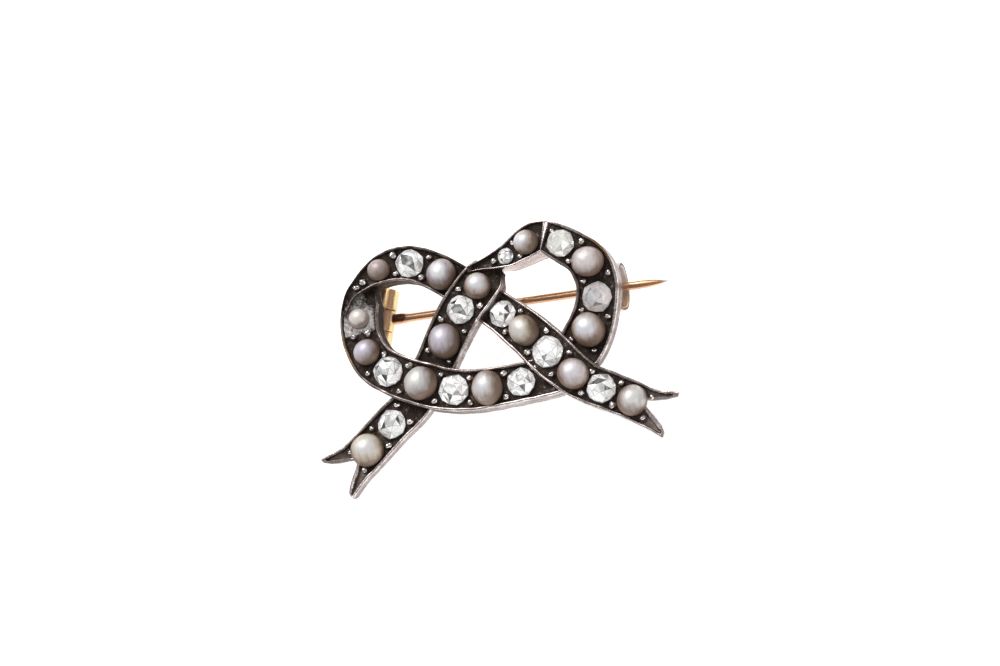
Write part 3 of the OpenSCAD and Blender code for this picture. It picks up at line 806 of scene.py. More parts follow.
@dataclass(frozen=True)
class Curve:
    """A length of ribbon's middle line with its width and depth, from a table of sections."""

    sizes: Sizes
    table: tuple[tuple[float, ...], ...]

    @property
    def last(self) -> int:
        """Number of the last row."""
        return len(self.table) - 1

    def section(self, at: Array) -> Array:
        """Place, width and depth at places counted in rows, on a cubic that passes smoothly through the rows.

        Between rows b and c, with a before and d after, at f of the way: b + (c - a) f / 2
        + (2a - 5b + 4c - d) f^2 / 2 + (3 (b - c) + d - a) f^3 / 2.

        Args:
            at: Places, any shape.

        Returns:
            Columns x, y, width, top and depth in millimetres, in a last axis.
        """
        s = self.sizes
        rows = np.array(self.table) * [s.bow_l / 2, s.bow_h / 2, s.ribbon_w, s.ribbon_t, s.ribbon_t]
        at = np.asarray(at, float)
        k = np.clip(np.floor(at).astype(int), 0, self.last - 1)
        f = (at - k)[..., None]
        a, b, c, d = (rows[np.clip(k + o, 0, self.last)] for o in (-1, 0, 1, 2))
        return b + (c - a) * f / 2 + (2 * a - 5 * b + 4 * c - d) * f**2 / 2 + (3 * (b - c) + d - a) * f**3 / 2

    def place(self, at: Array) -> Array:
        """Points of the middle line, level with the rims."""
        return self.section(at)[..., [0, 1, 3]]

    def across(self, at: Array) -> Array:
        """Level direction across the ribbon, to the left of its heading.

        Args:
            at: Places counted in rows, any shape.

        Returns:
            Unit vectors, in a last axis.
        """
        at = np.asarray(at, float)
        h = unit(self.place(at + 0.02) - self.place(at - 0.02))
        return unit(np.stack([-h[..., 1], h[..., 0], np.zeros(h.shape[:-1])], -1))

    def rim(self, at: Array) -> Array:
        """Width of each rim: the named width, less where the ribbon is narrower than itself."""
        return self.sizes.rim_w * np.minimum(1.0, self.section(at)[..., 2] / self.sizes.ribbon_w)

    def per_mm(self, at: float) -> float:
        """Rows to a millimetre of the middle line."""
        pair = np.array([at + 0.2, at - 0.2]).clip(0, self.last)
        return float(np.ptp(pair) / np.linalg.norm(np.subtract(*self.place(pair))))


@dataclass(frozen=True)
class Lay:
    """How the bow lies on the table: leaned back about X, then moved.

    Attributes:
        lean: Angle in radians.
        move: Where the bow's origin goes, in metres.
    """

    lean: float
    move: Array

    @classmethod
    def from_joint(cls, joint: dict[str, Any], axis_at: Array) -> Lay:
        """Reads it off the hinge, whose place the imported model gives.

        Args:
            joint: The hinge's joint, with its place and axis where the model lies.
            axis_at: The middle of the hinge's axis in the bow's plane, in millimetres.

        Returns:
            The lay.
        """
        axis = joint["axis"]
        lay = cls(math.atan2(axis[2], axis[1]), np.zeros(3))
        return cls(lay.lean, np.array(joint["pos_m"]) - lay.points(axis_at))

    def turn(self, v: Array) -> Array:
        """Leans directions back."""
        c, s = math.cos(self.lean), math.sin(self.lean)
        return np.asarray(v, float) @ np.array([[1, 0, 0], [0, c, s], [0, -s, c]])

    def points(self, p: Array) -> Array:
        """Carries points in millimetres of the bow's plane to metres where the model lies."""
        return self.turn(p) * MM + self.move


class SubAssembly:
    """A part of the brooch: each kind gives its parts, and all are built and dressed in the same way."""

    smooth_deg = 42.0  # faces that meet at less are shaded as one

    def parts(self) -> Iterator[tuple[str, Patch, Finish, str]]:
        """Gives each piece's name, surface, finish and its material's name."""
        raise NotImplementedError

    def build(self) -> list[bpy.types.Object]:
        """Builds its pieces, in order, and dresses them; pieces with the same material's name share it.

        Returns:
            The pieces.
        """
        made: dict[str, bpy.types.Material] = {}
        pieces = []
        for name, patch, finish, label in self.parts():
            if label not in made:
                made[label] = finish.material(label)
            pieces.append(make_piece(name, patch, self.smooth_deg))
            pieces[-1].data.materials.append(made[label])
        return pieces


# ---------------------------------------------------------------------------------------------------
# The ribbon
# ---------------------------------------------------------------------------------------------------


@dataclass(frozen=True)
class RibbonLength:
    """One length of the channelled ribbon.

    Attributes:
        name: Its name.
        curve: Its middle line.
        start: Row where it starts.
        stop: Row where it stops.
        begins: How it begins.
        ends: How it ends.
        wear_and_light: How worn its left and its right side are, with painted light and shade on each side, 0
            to 1: rows of place, left and right.
        ridges: Rows where a rim crosses it.
        side: How far its notch lies off its middle, in millimetres.
        stained: Row of a gilt patch on its left rim and how many rows it spreads over.
    """

    name: str
    curve: Curve
    start: float
    stop: float
    begins: End
    ends: End
    wear_and_light: tuple[tuple[float, float, float], ...]
    ridges: tuple[float, ...] = ()
    side: float = 0.0
    stained: tuple[float, float] | None = None

    STEP = 0.085  # rows between two sections
    NEAR = np.array([0.01, 0.02, 0.032, 0.045, 0.06, 0.08, 0.105, 0.14, 0.18])  # rows of those by a mark
    TAPER = 0.31  # rows without a floor at the start of a turned face
    FADE = 4.2  # millimetres over which a swallowtail's rows turn from square to its V
    WALL = 7  # points down a wall
    BACK_W = 0.985  # the back's width as a share of the top's
    RIDGE_SHINE = 0.88  # how bright a ridge is
    CUT_WORN, CAP_WORN = 0.8, 0.12  # how worn the face of a swallowtail's cut is, and how dark any other end's face is painted as shade

    def stations(self) -> Array:
        """Chooses the sections: even steps, closer by each end and ridge.

        Returns:
            Their rows.
        """
        even = np.linspace(self.start, self.stop, int(round((self.stop - self.start) / self.STEP)) + 1)
        marks = [self.start, self.stop, *self.ridges]
        if self.begins is End.TAPER:
            marks.append(self.start + self.TAPER)
        extra = np.concatenate([m + s * self.NEAR for m in marks for s in (-1, 1)])
        inside = extra[(extra > self.start) & (extra < self.stop)]
        every = np.unique(np.round(np.concatenate([even, inside]), 4))
        keep = np.concatenate([[True], np.diff(every) > 0.0045])
        keep[-1] = True
        return every[keep]

    def outline(self) -> Iterator[Array]:
        """The top of a section from its left edge to its right, as numbers that follow the ribbon's sizes.

        The rims' crests are half circles, the channel's walls lean a little and its floor is dished.

        Yields:
            For each point: its side (-1 or 1), its distance in from the edge in rim widths, its further
            distance as a share of the way to the middle, and its height as a share of the rim's crest
            (0 to -1) or, from -1 to -2, of the channel's depth.
        """
        turn = np.radians([0, 22, 45, 70, 95, 120, 145, 170])
        inward = np.concatenate([(1 - np.cos(turn)) / 2, np.ones(10)])
        further = np.concatenate([np.zeros(12), [0.03, 0.09, 0.2, 0.36, 0.56, 0.78]])
        height = np.concatenate([np.sin(turn) - 1, [-1.04, -1.3, -1.7, -1.92], np.full(6, -2.0)])
        yield np.repeat([-1.0, 1.0], [len(height), len(height) + 1])
        for half, middle in ((inward, 1.0), (further, 1.0), (height, -2.0)):
            yield np.concatenate([half, [middle], half[::-1]])

    def both_ends(self, at: Array) -> Iterator[tuple[End, float, float, Array]]:
        """For each end: how it ends, the way into the length (1 or -1), rows to a millimetre, and how far in.

        Args:
            at: Rows of the sections.

        Yields:
            The four, the last in millimetres for each section, as a column.
        """
        for row, kind, way in ((self.start, self.begins, 1.0), (self.stop, self.ends, -1.0)):
            per_mm = self.curve.per_mm(row)
            yield kind, way, per_mm, way * (at[:, None] - row) / per_mm

    def end_marks(self, at: Array) -> tuple[Array, Array, Array, Array]:
        """What changes toward the ends, as columns of one number for each section.

        Args:
            at: Rows of the sections.

        Returns:
            How full the ribbon is (less at a hidden end), how thick (less at a swallowtail), how much light
            reaches it (less at a hidden end), and how much paler its floor is (more at a swallowtail).
        """
        full, thick, light, pale = (np.full((len(at), 1), x) for x in (1.0, 1.0, 1.0, 0.0))
        for kind, _, _, along in self.both_ends(at):
            if kind is End.HIDDEN:
                full = np.minimum(full, ease(along / 1.1 + 0.08))
                # painted shade, darker towards a hidden end
                light = np.minimum(light, 0.30 + 0.70 * ease((along - 0.25) / 0.7))
            elif kind is End.SWALLOW:
                thick = ease(along / 0.4 + 0.12)
                pale = 0.30 * np.exp(-((along / 1.3) ** 2))
        return full, thick, light, pale

    def notch(self, y: Array, width: Array) -> Array:
        """How deep the swallowtail is cut: straight from each tip in to its middle point.

        Args:
            y: Places across the ribbon.
            width: The ribbon's width there.

        Returns:
            Depths in millimetres.
        """
        s = self.curve.sizes
        w = width - 2 * s.tip_w
        sign = np.where(y >= self.side, 1.0, -1.0)
        half, tip = self.side / 2 + sign * w / 5, sign * w / 2
        inner = s.notch_l * (1 - 0.5 * np.clip((y - self.side) / (half - self.side), 0, 1))
        outer = s.notch_l / 2 * (1 - np.clip((y - half) / (tip - half), 0, 1))
        return np.where(np.abs(y - self.side) < np.abs(half - self.side), inner, outer)

    def edges(self, at: Array, offset: Array, width: Array, rim: Array) -> tuple[Array, Array, Array]:
        """Shears the rows back at a swallowtail and finds how near each point is to a cut edge or a ridge.

        Args:
            at: Rows of the sections.
            offset: Places across the ribbon, a row for each section.
            width: The ribbon's width, as a column.
            rim: The rims' width, as a column.

        Returns:
            The row of each point, its distance from the nearest edge, and how bright that edge is.
        """
        rows, gap, lit = at[:, None] + 0 * offset, np.full(offset.shape, 9.0), 0 * offset
        found = []
        for kind, way, per_mm, along in self.both_ends(at):
            if kind is End.SWALLOW:
                cut = self.notch(offset, width)
                slope = np.abs(self.notch(offset + 0.02, width) - self.notch(offset - 0.02, width)) / 0.04
                back = cut * np.clip(1 - along / self.FADE, 0, 1)
                rows = rows + way * back * per_mm
                found.append((np.abs(along + back - cut) / np.sqrt(1 + slope**2), kind.value))
            else:
                apart = along - 0.05 if kind is End.HIDDEN else along - self.TAPER / per_mm + rim
                found.append((apart, kind.value))
        for row in self.ridges:
            found.append((np.abs(at[:, None] - row) / self.curve.per_mm(row) + rim / 2, self.RIDGE_SHINE))
        for apart, shine in found:
            lit = np.where(apart < gap, shine, lit)
            gap = np.minimum(gap, apart)
        return rows, gap, lit

    def patch(self) -> Patch:
        """Builds the closed surface.

        The top, the two outer walls and the back are carried along the middle line: point = middle
        + across * offset + up * height. At a swallowtail the rows are sheared back by the notch's depth
        at each offset, and the floor rises to a rim along every cut and ridge.

        Returns:
            The patch, in the bow's plane, with the values "worn" (wear with painted light and shade) and
            "warm".
        """
        c, s = self.curve, self.curve.sizes
        side, inward, further, height = self.outline()
        crested, top_n = height >= -1, len(side)
        at = self.stations()
        full, thick, light, pale = self.end_marks(at)

        # Places across and along, and the heights of the top
        rim = c.rim(at)[:, None]
        half = c.section(at)[:, 2:3] / 2 * (0.62 + 0.38 * full)
        offset = side * (half - inward * rim - further * (half - rim))
        rows, gap, lit = self.edges(at, offset, half * 2, rim)
        level = 1 - ease((gap - rim) / 0.09)
        lifted = -0.015 - 0.05 * np.clip(1 - gap / rim, 0, 1) ** 2
        crest = 0.45 * rim
        sink = s.floor_sink * (1 + 0.10 * wobble(np.stack([rows, offset, 0 * rows], -1), 1.1))
        dish = 0.10 * (1 - further) ** 4 * (height <= -2)
        floor = -crest - (sink - crest) * np.clip(-height - 1, 0, 1) + dish
        high = np.where(crested, crest * height, floor * (1 - level) + lifted * level)

        # The ring of points of each section: top, right wall, back and left wall
        mid, cross = c.place(rows), c.across(rows)
        top = mid + cross * offset[..., None] + high[..., None] * UP
        deep = c.section(rows)[..., 4] * (0.30 + 0.70 * thick) * (0.45 + 0.55 * full)
        back = mid + cross * (offset * self.BACK_W)[..., None] - deep[..., None] * UP
        down = np.linspace(0, 1, self.WALL)
        share = down[1:-1]
        left, right = (top[:, k] * (1 - share)[:, None] + back[:, k] * share[:, None]
                       for k in (slice(0, 1), slice(-1, None)))
        ring = np.concatenate([top, right, back[:, ::-1], left[:, ::-1]], 1)

        # How worn each point is, with painted light and shade: each side as lit as its table gives, darker
        # towards a hidden end
        chart = np.array(self.wear_and_light)
        wear_and_light_l, wear_and_light_r = (np.interp(rows, chart[:, 0], chart[:, k]) for k in (1, 2))
        side_wear_and_light = np.where(side > 0, wear_and_light_l, wear_and_light_r)
        # Crests: wear with painted light and shade on each side, a little darker on their inner edge
        crest_wear_and_light = 0.42 + 0.50 * side_wear_and_light + 0.14 * wobble(top, 0.8, 1.0) - 0.14 * (inward > 0.8)
        plain = np.where(crested, crest_wear_and_light, np.where(height >= -1.35, 0.26, 0.13) + pale)
        edged = np.where(lit < 0.4, np.minimum(plain, 0.5), lit)
        # Walls: darker halfway down, lit by side as painted light, and painted shade towards a hidden end
        fall = 0.88 - 0.18 * np.sin(share * np.pi)
        wall_l, wall_r = (np.maximum(side_wear_and_light[:, k], 0.08) * fall * light for k in (slice(0, 1), slice(-1, None)))
        worn = np.concatenate([(plain * (1 - level) + edged * level) * light, wall_r,
                               np.full(back.shape[:2], 0.50), wall_l[:, ::-1]], 1)
        warm = np.zeros(worn.shape)
        if self.stained:
            spot = np.exp(-(((at - self.stained[0]) / self.stained[1]) ** 2))[:, None]
            warm[:, top_n - 9 : top_n], warm[:, top_n : top_n + 2] = spot, spot * 0.5

        sheets = [grid(ring, {"worn": worn, "warm": warm})]
        for k, kind in ((0, self.begins), (-1, self.ends)):
            cap = top[k] * (1 - down[:, None, None]) + back[k] * down[:, None, None]
            bare = self.CUT_WORN if kind is End.SWALLOW else self.CAP_WORN
            sheets.append(grid(cap, {"worn": bare, "warm": 0.0}, False))
        whole = join(sheets)
        shake = wobble(whole.points, 1.3, len(self.name)) * 0.016 + wobble(whole.points, 0.45, 2.0) * 0.006
        whole.points = whole.points + shake[:, None] * np.array([1.0, 1.0, 0.9])
        return whole


@dataclass
class Ribbon(SubAssembly):
    """The silver ribbon, made of five lengths that pass over and under each other."""

    sizes: Sizes
    lay: Lay
    finish: OxidisedSilver = OxidisedSilver()

    def curves(self) -> dict[str, Curve]:
        """The middle lines by the lengths' names."""
        tables = {
            "tail": TAIL_ROWS, "loop": LOOP_ROWS, "curve": CURVE_ROWS, "fold": FOLD_ROWS, "sash": SASH_ROWS,
        }
        return {name: Curve(self.sizes, table) for name, table in tables.items()}

    def lengths(self) -> Iterator[RibbonLength]:
        """The five lengths, how each ends, and how worn and how lit each side is, as painted light and shade.

        Yields:
            The lengths, from the left tail along the ribbon to the right one.
        """
        tail, loop, curve, fold, sash = self.curves().items()
        yield RibbonLength(*tail, -0.12, 9.6, End.SWALLOW, End.HIDDEN,
                           ((0, 0.50, 0.80), (3, 0.35, 0.85), (9.6, 0.25, 0.70)))
        yield RibbonLength(*loop, 0.0, 15.0, End.TAPER, End.HIDDEN,
                           ((0, 0.60, 0.80), (2.5, 0.55, 0.95), (4.5, 0.90, 0.95), (5.8, 0.90, 0.95),
                            (6.5, 0.55, 0.60), (8.0, 0.60, 0.25), (9.5, 0.66, 0.20), (15, 0.78, 0.25)),
                           ridges=(6.0,), stained=(9.1, 0.8))
        yield RibbonLength(*curve, 0.0, 12.0, End.HIDDEN, End.HIDDEN,
                           ((0, 0.85, 0.30), (3, 0.80, 0.35), (5, 0.50, 0.40), (7, 0.15, 0.30),
                            (9, 0.15, 0.10), (12, 0.20, 0.05)), stained=(8.9, 0.6))
        yield RibbonLength(*fold, 0.0, 9.0, End.TAPER, End.HIDDEN,
                           ((0, 0.30, 0.45), (3, -0.25, 0.35), (9, -0.25, 0.30)))
        yield RibbonLength(*sash, 0.0, 10.14, End.HIDDEN, End.SWALLOW,
                           ((0, 0.30, 0.45), (4, 0.35, 0.60), (7, 0.45, 0.75), (10, 0.70, 0.85)), side=0.4)

    def parts(self) -> Iterator[tuple[str, Patch, Finish, str]]:
        """One piece for each length."""
        for length in self.lengths():
            patch = length.patch()
            patch.points = self.lay.points(patch.points)
            yield f"ribbon_{length.name}", patch, self.finish, "oxidised_silver"


# ---------------------------------------------------------------------------------------------------
# Stones
# ---------------------------------------------------------------------------------------------------


@dataclass(frozen=True)
class Seat:
    """Where a stone stands, in metres: its base's middle, its up direction, radius and height."""

    centre: Array
    up: Array
    radius: float
    height: float

    @classmethod
    def of_node(cls, node: bpy.types.Object) -> Seat:
        """Reads it off a stone's solid: its base is the flat side with the largest area.

        Args:
            node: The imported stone.

        Returns:
            Its seat.
        """
        mesh, p = node.data, corner_points(node)
        mesh.calc_loop_triangles()
        t = np.zeros(len(mesh.loop_triangles) * 3, int)
        mesh.loop_triangles.foreach_get("vertices", t)
        a, b, c = (p[t.reshape(-1, 3)[:, k]] for k in range(3))
        n = np.cross(b - a, c - a) / 2
        area = np.linalg.norm(n, axis=1)
        way = n / np.maximum(area, 1e-18)[:, None]
        same = way @ way.T > 0.9995
        flat = same[np.argmax(same @ area)]
        up = -unit((n[flat]).sum(0))
        middle = ((a + b + c)[flat] / 3 * area[flat][:, None]).sum(0) / area[flat].sum()
        rel = p - middle
        high = rel @ up
        wide = np.linalg.norm(rel - high[:, None] * up, axis=1)
        return cls(middle, up, float(wide.max()), float(high.max()))

    def points(self, local: Array, turn: float = 0.0) -> Array:
        """Carries points in the seat's own axes, in metres, to where the model lies.

        Args:
            local: The points.
            turn: Angle by which they are turned about up, in radians.

        Returns:
            The carried points.
        """
        x = unit(np.cross([0.0, 1.0, 0.0], self.up))
        y = np.cross(self.up, x)
        c, s = math.cos(turn), math.sin(turn)
        x, y = c * x + s * y, c * y - s * x
        return self.centre + local[..., :1] * x + local[..., 1:2] * y + local[..., 2:3] * self.up


@dataclass(frozen=True)
class PearlLook:
    """How one half pearl differs.

    Attributes:
        nacre: Its skin.
        oval: How much longer it is than round.
        angle: Direction in which it is long, in radians.
        shaded_side: Direction of its side darkened with painted shade, in degrees from the right of the
            picture.
    """

    nacre: Nacre
    oval: float
    angle: float
    shaded_side: float


CREAM, MILK, VIOLET = (0.92, 0.86, 0.80), (0.90, 0.89, 0.86), (0.72, 0.68, 0.78)
MAUVE, OLIVE, SILVERY = (0.54, 0.435, 0.415), (0.86, 0.83, 0.77), (0.88, 0.87, 0.91)
BROWN, DUSK, STRAW = (0.47, 0.375, 0.325), (0.42, 0.355, 0.375), (0.58, 0.49, 0.37)
ROSY, ASH, BUFF = (0.56, 0.465, 0.43), (0.50, 0.455, 0.44), (0.86, 0.79, 0.74)

PEARL_LOOKS = (
    PearlLook(Nacre(MILK, STRAW, 0.22), 0.02, 0.4, -150),
    PearlLook(Nacre(VIOLET, DUSK, 0.34, 0.1), 0.05, 1.5, -95),
    PearlLook(Nacre(SILVERY, ROSY, 0.28), 0.01, 0.2, -140),
    PearlLook(Nacre(SILVERY, ROSY, 0.24), 0.03, 0.3, -30),
    PearlLook(Nacre((0.88, 0.82, 0.81), ROSY, 0.24, 0.9), 0.04, 0.1, -60),
    PearlLook(Nacre(SILVERY, BROWN, 0.40, 0.1), 0.03, 2.0, -110),
    PearlLook(Nacre(SILVERY, BROWN, 0.26, 0.3), 0.07, 1.5, -20),
    PearlLook(Nacre(MILK, ASH, 0.20, 0.1), 0.02, 0.8, -70),
    PearlLook(Nacre(VIOLET, DUSK, 0.22, 0.2), 0.04, 0.6, -60),
    PearlLook(Nacre(CREAM, BUFF, 0.08, edge=(0.46, 0.36, 0.30)), 0.02, 0.0, -90),
    PearlLook(Nacre(MAUVE, (0.36, 0.28, 0.26), 0.24, 0.6), 0.03, 0.5, -80),
    PearlLook(Nacre(SILVERY, DUSK, 0.24, 0.1), 0.03, 1.2, -60),
    PearlLook(Nacre(OLIVE, STRAW, 0.30), 0.05, 2.2, 10),
    PearlLook(Nacre((0.88, 0.85, 0.90), ROSY, 0.28, 0.1), 0.02, 2.6, -150),
    PearlLook(Nacre(MILK, ASH, 0.30, 0.1), 0.03, 1.0, -160),
)


@dataclass
class Pearls(SubAssembly):
    """The fifteen half pearls."""

    seats: list[Seat]

    def patch(self, seat: Seat, look: PearlLook, seed: float) -> Patch:
        """A dome: radius = sine and height = cosine of the way down a sphere, made oval and uneven.

        Args:
            seat: Where it stands.
            look: How it differs.
            seed: Makes its unevenness its own.

        Returns:
            The closed patch, with the value "low" from 0 at its crown to 1 at its base, raised on its side of
            painted shade.
        """
        down, around = dome(56, 26)
        ball = seat.radius
        squat = seat.height - ball
        polar = down * math.acos(np.clip(-squat / ball, -0.9, 0.9))
        stretch = 1 + look.oval * np.cos(2 * (around - look.angle))
        radius = ball * np.sin(polar) * stretch * 0.995
        height = squat + ball * np.cos(polar)
        local = np.stack([radius * np.cos(around), radius * np.sin(around), height], -1)
        fine = wobble(local / MM, 0.5, seed + 3) * 0.004 * (1 + 2 * look.nacre.pits)
        uneven = wobble(local / MM, 1.5, seed) * 0.018 + fine
        local = local * (1 + (uneven * np.sin(polar * 0.9 + 0.2))[..., None])
        local[..., 2] = np.maximum(local[..., 2], 0.0)
        # Painted shade: "low" leans higher on one side of the pearl
        lean = 0.20 * np.cos(around - math.radians(look.shaded_side)) * np.sin(polar)
        skin = grid(seat.points(local), {"low": np.clip(down**1.1 + lean, 0, 1)})
        base = local[-1] * np.array([1.0, 0.0])[:, None, None]
        return join([skin, grid(seat.points(base), {"low": 1.0})])

    def parts(self) -> Iterator[tuple[str, Patch, Finish, str]]:
        """One piece for each pearl, along the ribbon."""
        for k, (seat, look) in enumerate(zip(self.seats, PEARL_LOOKS), 1):
            yield f"half_pearl_{k}", self.patch(seat, look, 1.7 * k), look.nacre, f"nacre_{k}"


@dataclass(frozen=True)
class RoseLook:
    """How one rose cut differs.

    Attributes:
        turn: Its turn about up, in radians.
        table: Its table's radius as a share of its own.
        shift: How far the table lies off its middle, as shares of its radius.
        stone: Its finish.
    """

    turn: float
    table: float
    shift: tuple[float, float]
    stone: RoseCutStone = RoseCutStone()


ROSE_LOOKS = (
    RoseLook(0.3, 0.44, (0.08, 0.10)),
    RoseLook(1.1, 0.40, (0.02, 0.02)),
    RoseLook(0.2, 0.44, (0.00, -0.05)),
    RoseLook(0.7, 0.42, (-0.12, 0.12), RoseCutStone(0.25, (0.84, 0.83, 0.78))),
    RoseLook(1.9, 0.52, (0.06, 0.02), RoseCutStone(0.95, (0.79, 0.710, 0.705))),
    RoseLook(0.5, 0.42, (0.05, -0.02)),
    RoseLook(2.2, 0.40, (0.00, 0.05)),
    RoseLook(1.4, 0.44, (0.04, 0.06)),
    RoseLook(0.9, 0.44, (0.10, 0.08)),
    RoseLook(2.6, 0.44, (0.08, -0.10)),
    RoseLook(0.1, 0.42, (0.04, 0.02)),
    RoseLook(1.6, 0.38, (-0.04, 0.04), RoseCutStone(0.15)),
)


@dataclass
class RoseCuts(SubAssembly):
    """The twelve rose cut diamonds."""

    seats: list[Seat]

    smooth_deg = 0.0

    @staticmethod
    def ring(count: int, radius: float, height: float, turn: float, jitter: float, seed: float) -> Array:
        """Corners of a ring, with corner k of n at angle 2 pi k / n, each a little uneven.

        Args:
            count: Number of corners.
            radius: Its radius.
            height: Its height.
            turn: Its turn, in parts of the ring.
            jitter: How uneven angle, radius and height are.
            seed: Makes the unevenness its own.

        Returns:
            The corners.
        """
        k = np.arange(count)
        angle = 2 * np.pi * (k + turn) / count + jitter * np.sin(5.3 * k + seed)
        r = radius * (1 + jitter * np.cos(3.7 * k + 2 * seed))
        z = height * (1 + jitter * np.sin(2.9 * k + seed))
        return np.stack([r * np.cos(angle), r * np.sin(angle), z], -1)

    def patch(self, seat: Seat, look: RoseLook, seed: float) -> Patch:
        """Facets between a base and a girdle of 12 corners, a star of 6 and a table of 6.

        Args:
            seat: Where it stands.
            look: How it differs.
            seed: Makes its facets its own.

        Returns:
            The patch, with the value "light", a painted reflection of 0 to 1 for each facet, and the vector
            "seam", whose least part is 0 at a facet's edges. The table's facets have a seam only at its rim.
        """
        r, h = seat.radius, seat.height
        base = self.ring(12, r * 0.93, 0.0, 0.0, 0.0, seed)
        girdle = self.ring(12, r * 0.985, h * 0.24, 0.0, 0.04, seed)
        girdle[:, 2] = h * (0.24 + 0.03 * np.sin(4.1 * np.arange(12) + seed))
        star = self.ring(6, r * 0.75, h * 0.66, 0.25, 0.11, seed)
        table = self.ring(6, r * look.table, h * 0.985, 0.75, 0.17, seed)
        table[:, 2] = h * (0.985 + 0.012 * np.sin(2.0 * np.arange(6) + seed))
        star[:, :2] += np.array(look.shift) * r * 0.4
        table[:, :2] += np.array(look.shift) * r
        local = np.concatenate([base, girdle, star, table, [table.mean(0)], np.zeros((1, 3))])

        b, g, s, t = np.arange(12), 12 + np.arange(12), 24 + np.arange(6), 30 + np.arange(6)
        crown, foot = 36, 37
        b_next, g_next, s_next, t_next = (np.roll(x, -1) for x in (b, g, s, t))
        even, odd, next_even = g[::2], g[1::2], g_next[1::2]
        threes = (
            (even, odd, s), (odd, next_even, s), (s, next_even, s_next), (s, s_next, t), (t, s_next, t_next),
            (t, t_next, crown), (b, b_next, g), (b_next, g_next, g), (b_next, b, foot),
        )
        faces = np.concatenate([np.stack(np.broadcast_arrays(*three), 1) for three in threes])

        # Painted reflections: a brightness for each facet, one for the whole table
        n = np.arange(len(faces))
        light = np.modf(np.abs(np.sin(n * 12.9898 + seed * 78.233)) * 43758.5453)[0]
        flank, top = slice(18, 30), slice(30, 36)
        light[:18] = 0.48 + 0.5 * light[:18]
        light[flank] = np.where(light[flank] > 0.28, 0.62 + 0.38 * light[flank], 0.10 + 0.9 * light[flank])
        light[top] = 0.24 + 0.5 * light[30]
        seam = np.tile(np.eye(3), (len(faces), 1, 1))
        seam[top, :, :2] += 1.0
        points = seat.points(local, look.turn)
        return Patch(points, faces, face_values={"light": light}, corner_vectors={"seam": seam})

    def parts(self) -> Iterator[tuple[str, Patch, Finish, str]]:
        """One piece for each diamond, along the ribbon."""
        for k, (seat, look) in enumerate(zip(self.seats, ROSE_LOOKS), 1):
            yield f"rose_cut_{k}", self.patch(seat, look, 0.9 * k), look.stone, f"rose_cut_glass_{k}"


# Each stone's length of ribbon, its place there in rows and whether it is a pearl, along the ribbon
STONES = (
    ("tail", 2.14, True), ("tail", 3.00, False), ("tail", 5.90, True),
    ("tail", 7.00, False), ("tail", 7.88, True),
    ("loop", 2.75, False), ("loop", 4.50, True), ("loop", 7.10, False), ("loop", 9.20, True),
    ("loop", 11.60, False), ("loop", 13.30, True),
    ("curve", 2.10, False), ("curve", 3.40, True), ("curve", 4.70, False), ("curve", 6.00, True),
    ("curve", 7.30, False), ("curve", 8.50, True), ("curve", 10.05, True),
    ("fold", 3.45, True), ("fold", 5.40, False), ("fold", 7.35, True),
    ("sash", 1.45, False), ("sash", 2.70, True), ("sash", 4.02, False), ("sash", 5.40, True),
    ("sash", 6.70, False), ("sash", 8.00, True),
)
CEMENTED = 17  # number of the stone in the cement
# Grains at the outer ends of each run of stones: length, place in rows, share of the way across
END_GRAINS = (
    ("tail", 1.45, 0.80), ("tail", 1.40, -0.80), ("tail", 3.55, 0.80), ("tail", 3.55, -0.80),
    ("tail", 5.35, 0.85), ("tail", 5.30, -0.85), ("loop", 1.80, 0.00), ("loop", 6.35, 0.70),
    ("curve", 1.50, -0.80), ("fold", 2.30, 0.00), ("fold", 1.75, 0.00), ("sash", 8.85, 0.80),
    ("sash", 8.85, -0.80), ("curve", 9.30, 0.55), ("curve", 9.30, -0.55), ("fold", 8.15, -0.70),
    ("loop", 14.10, 0.75), ("loop", 14.10, -0.70),
)


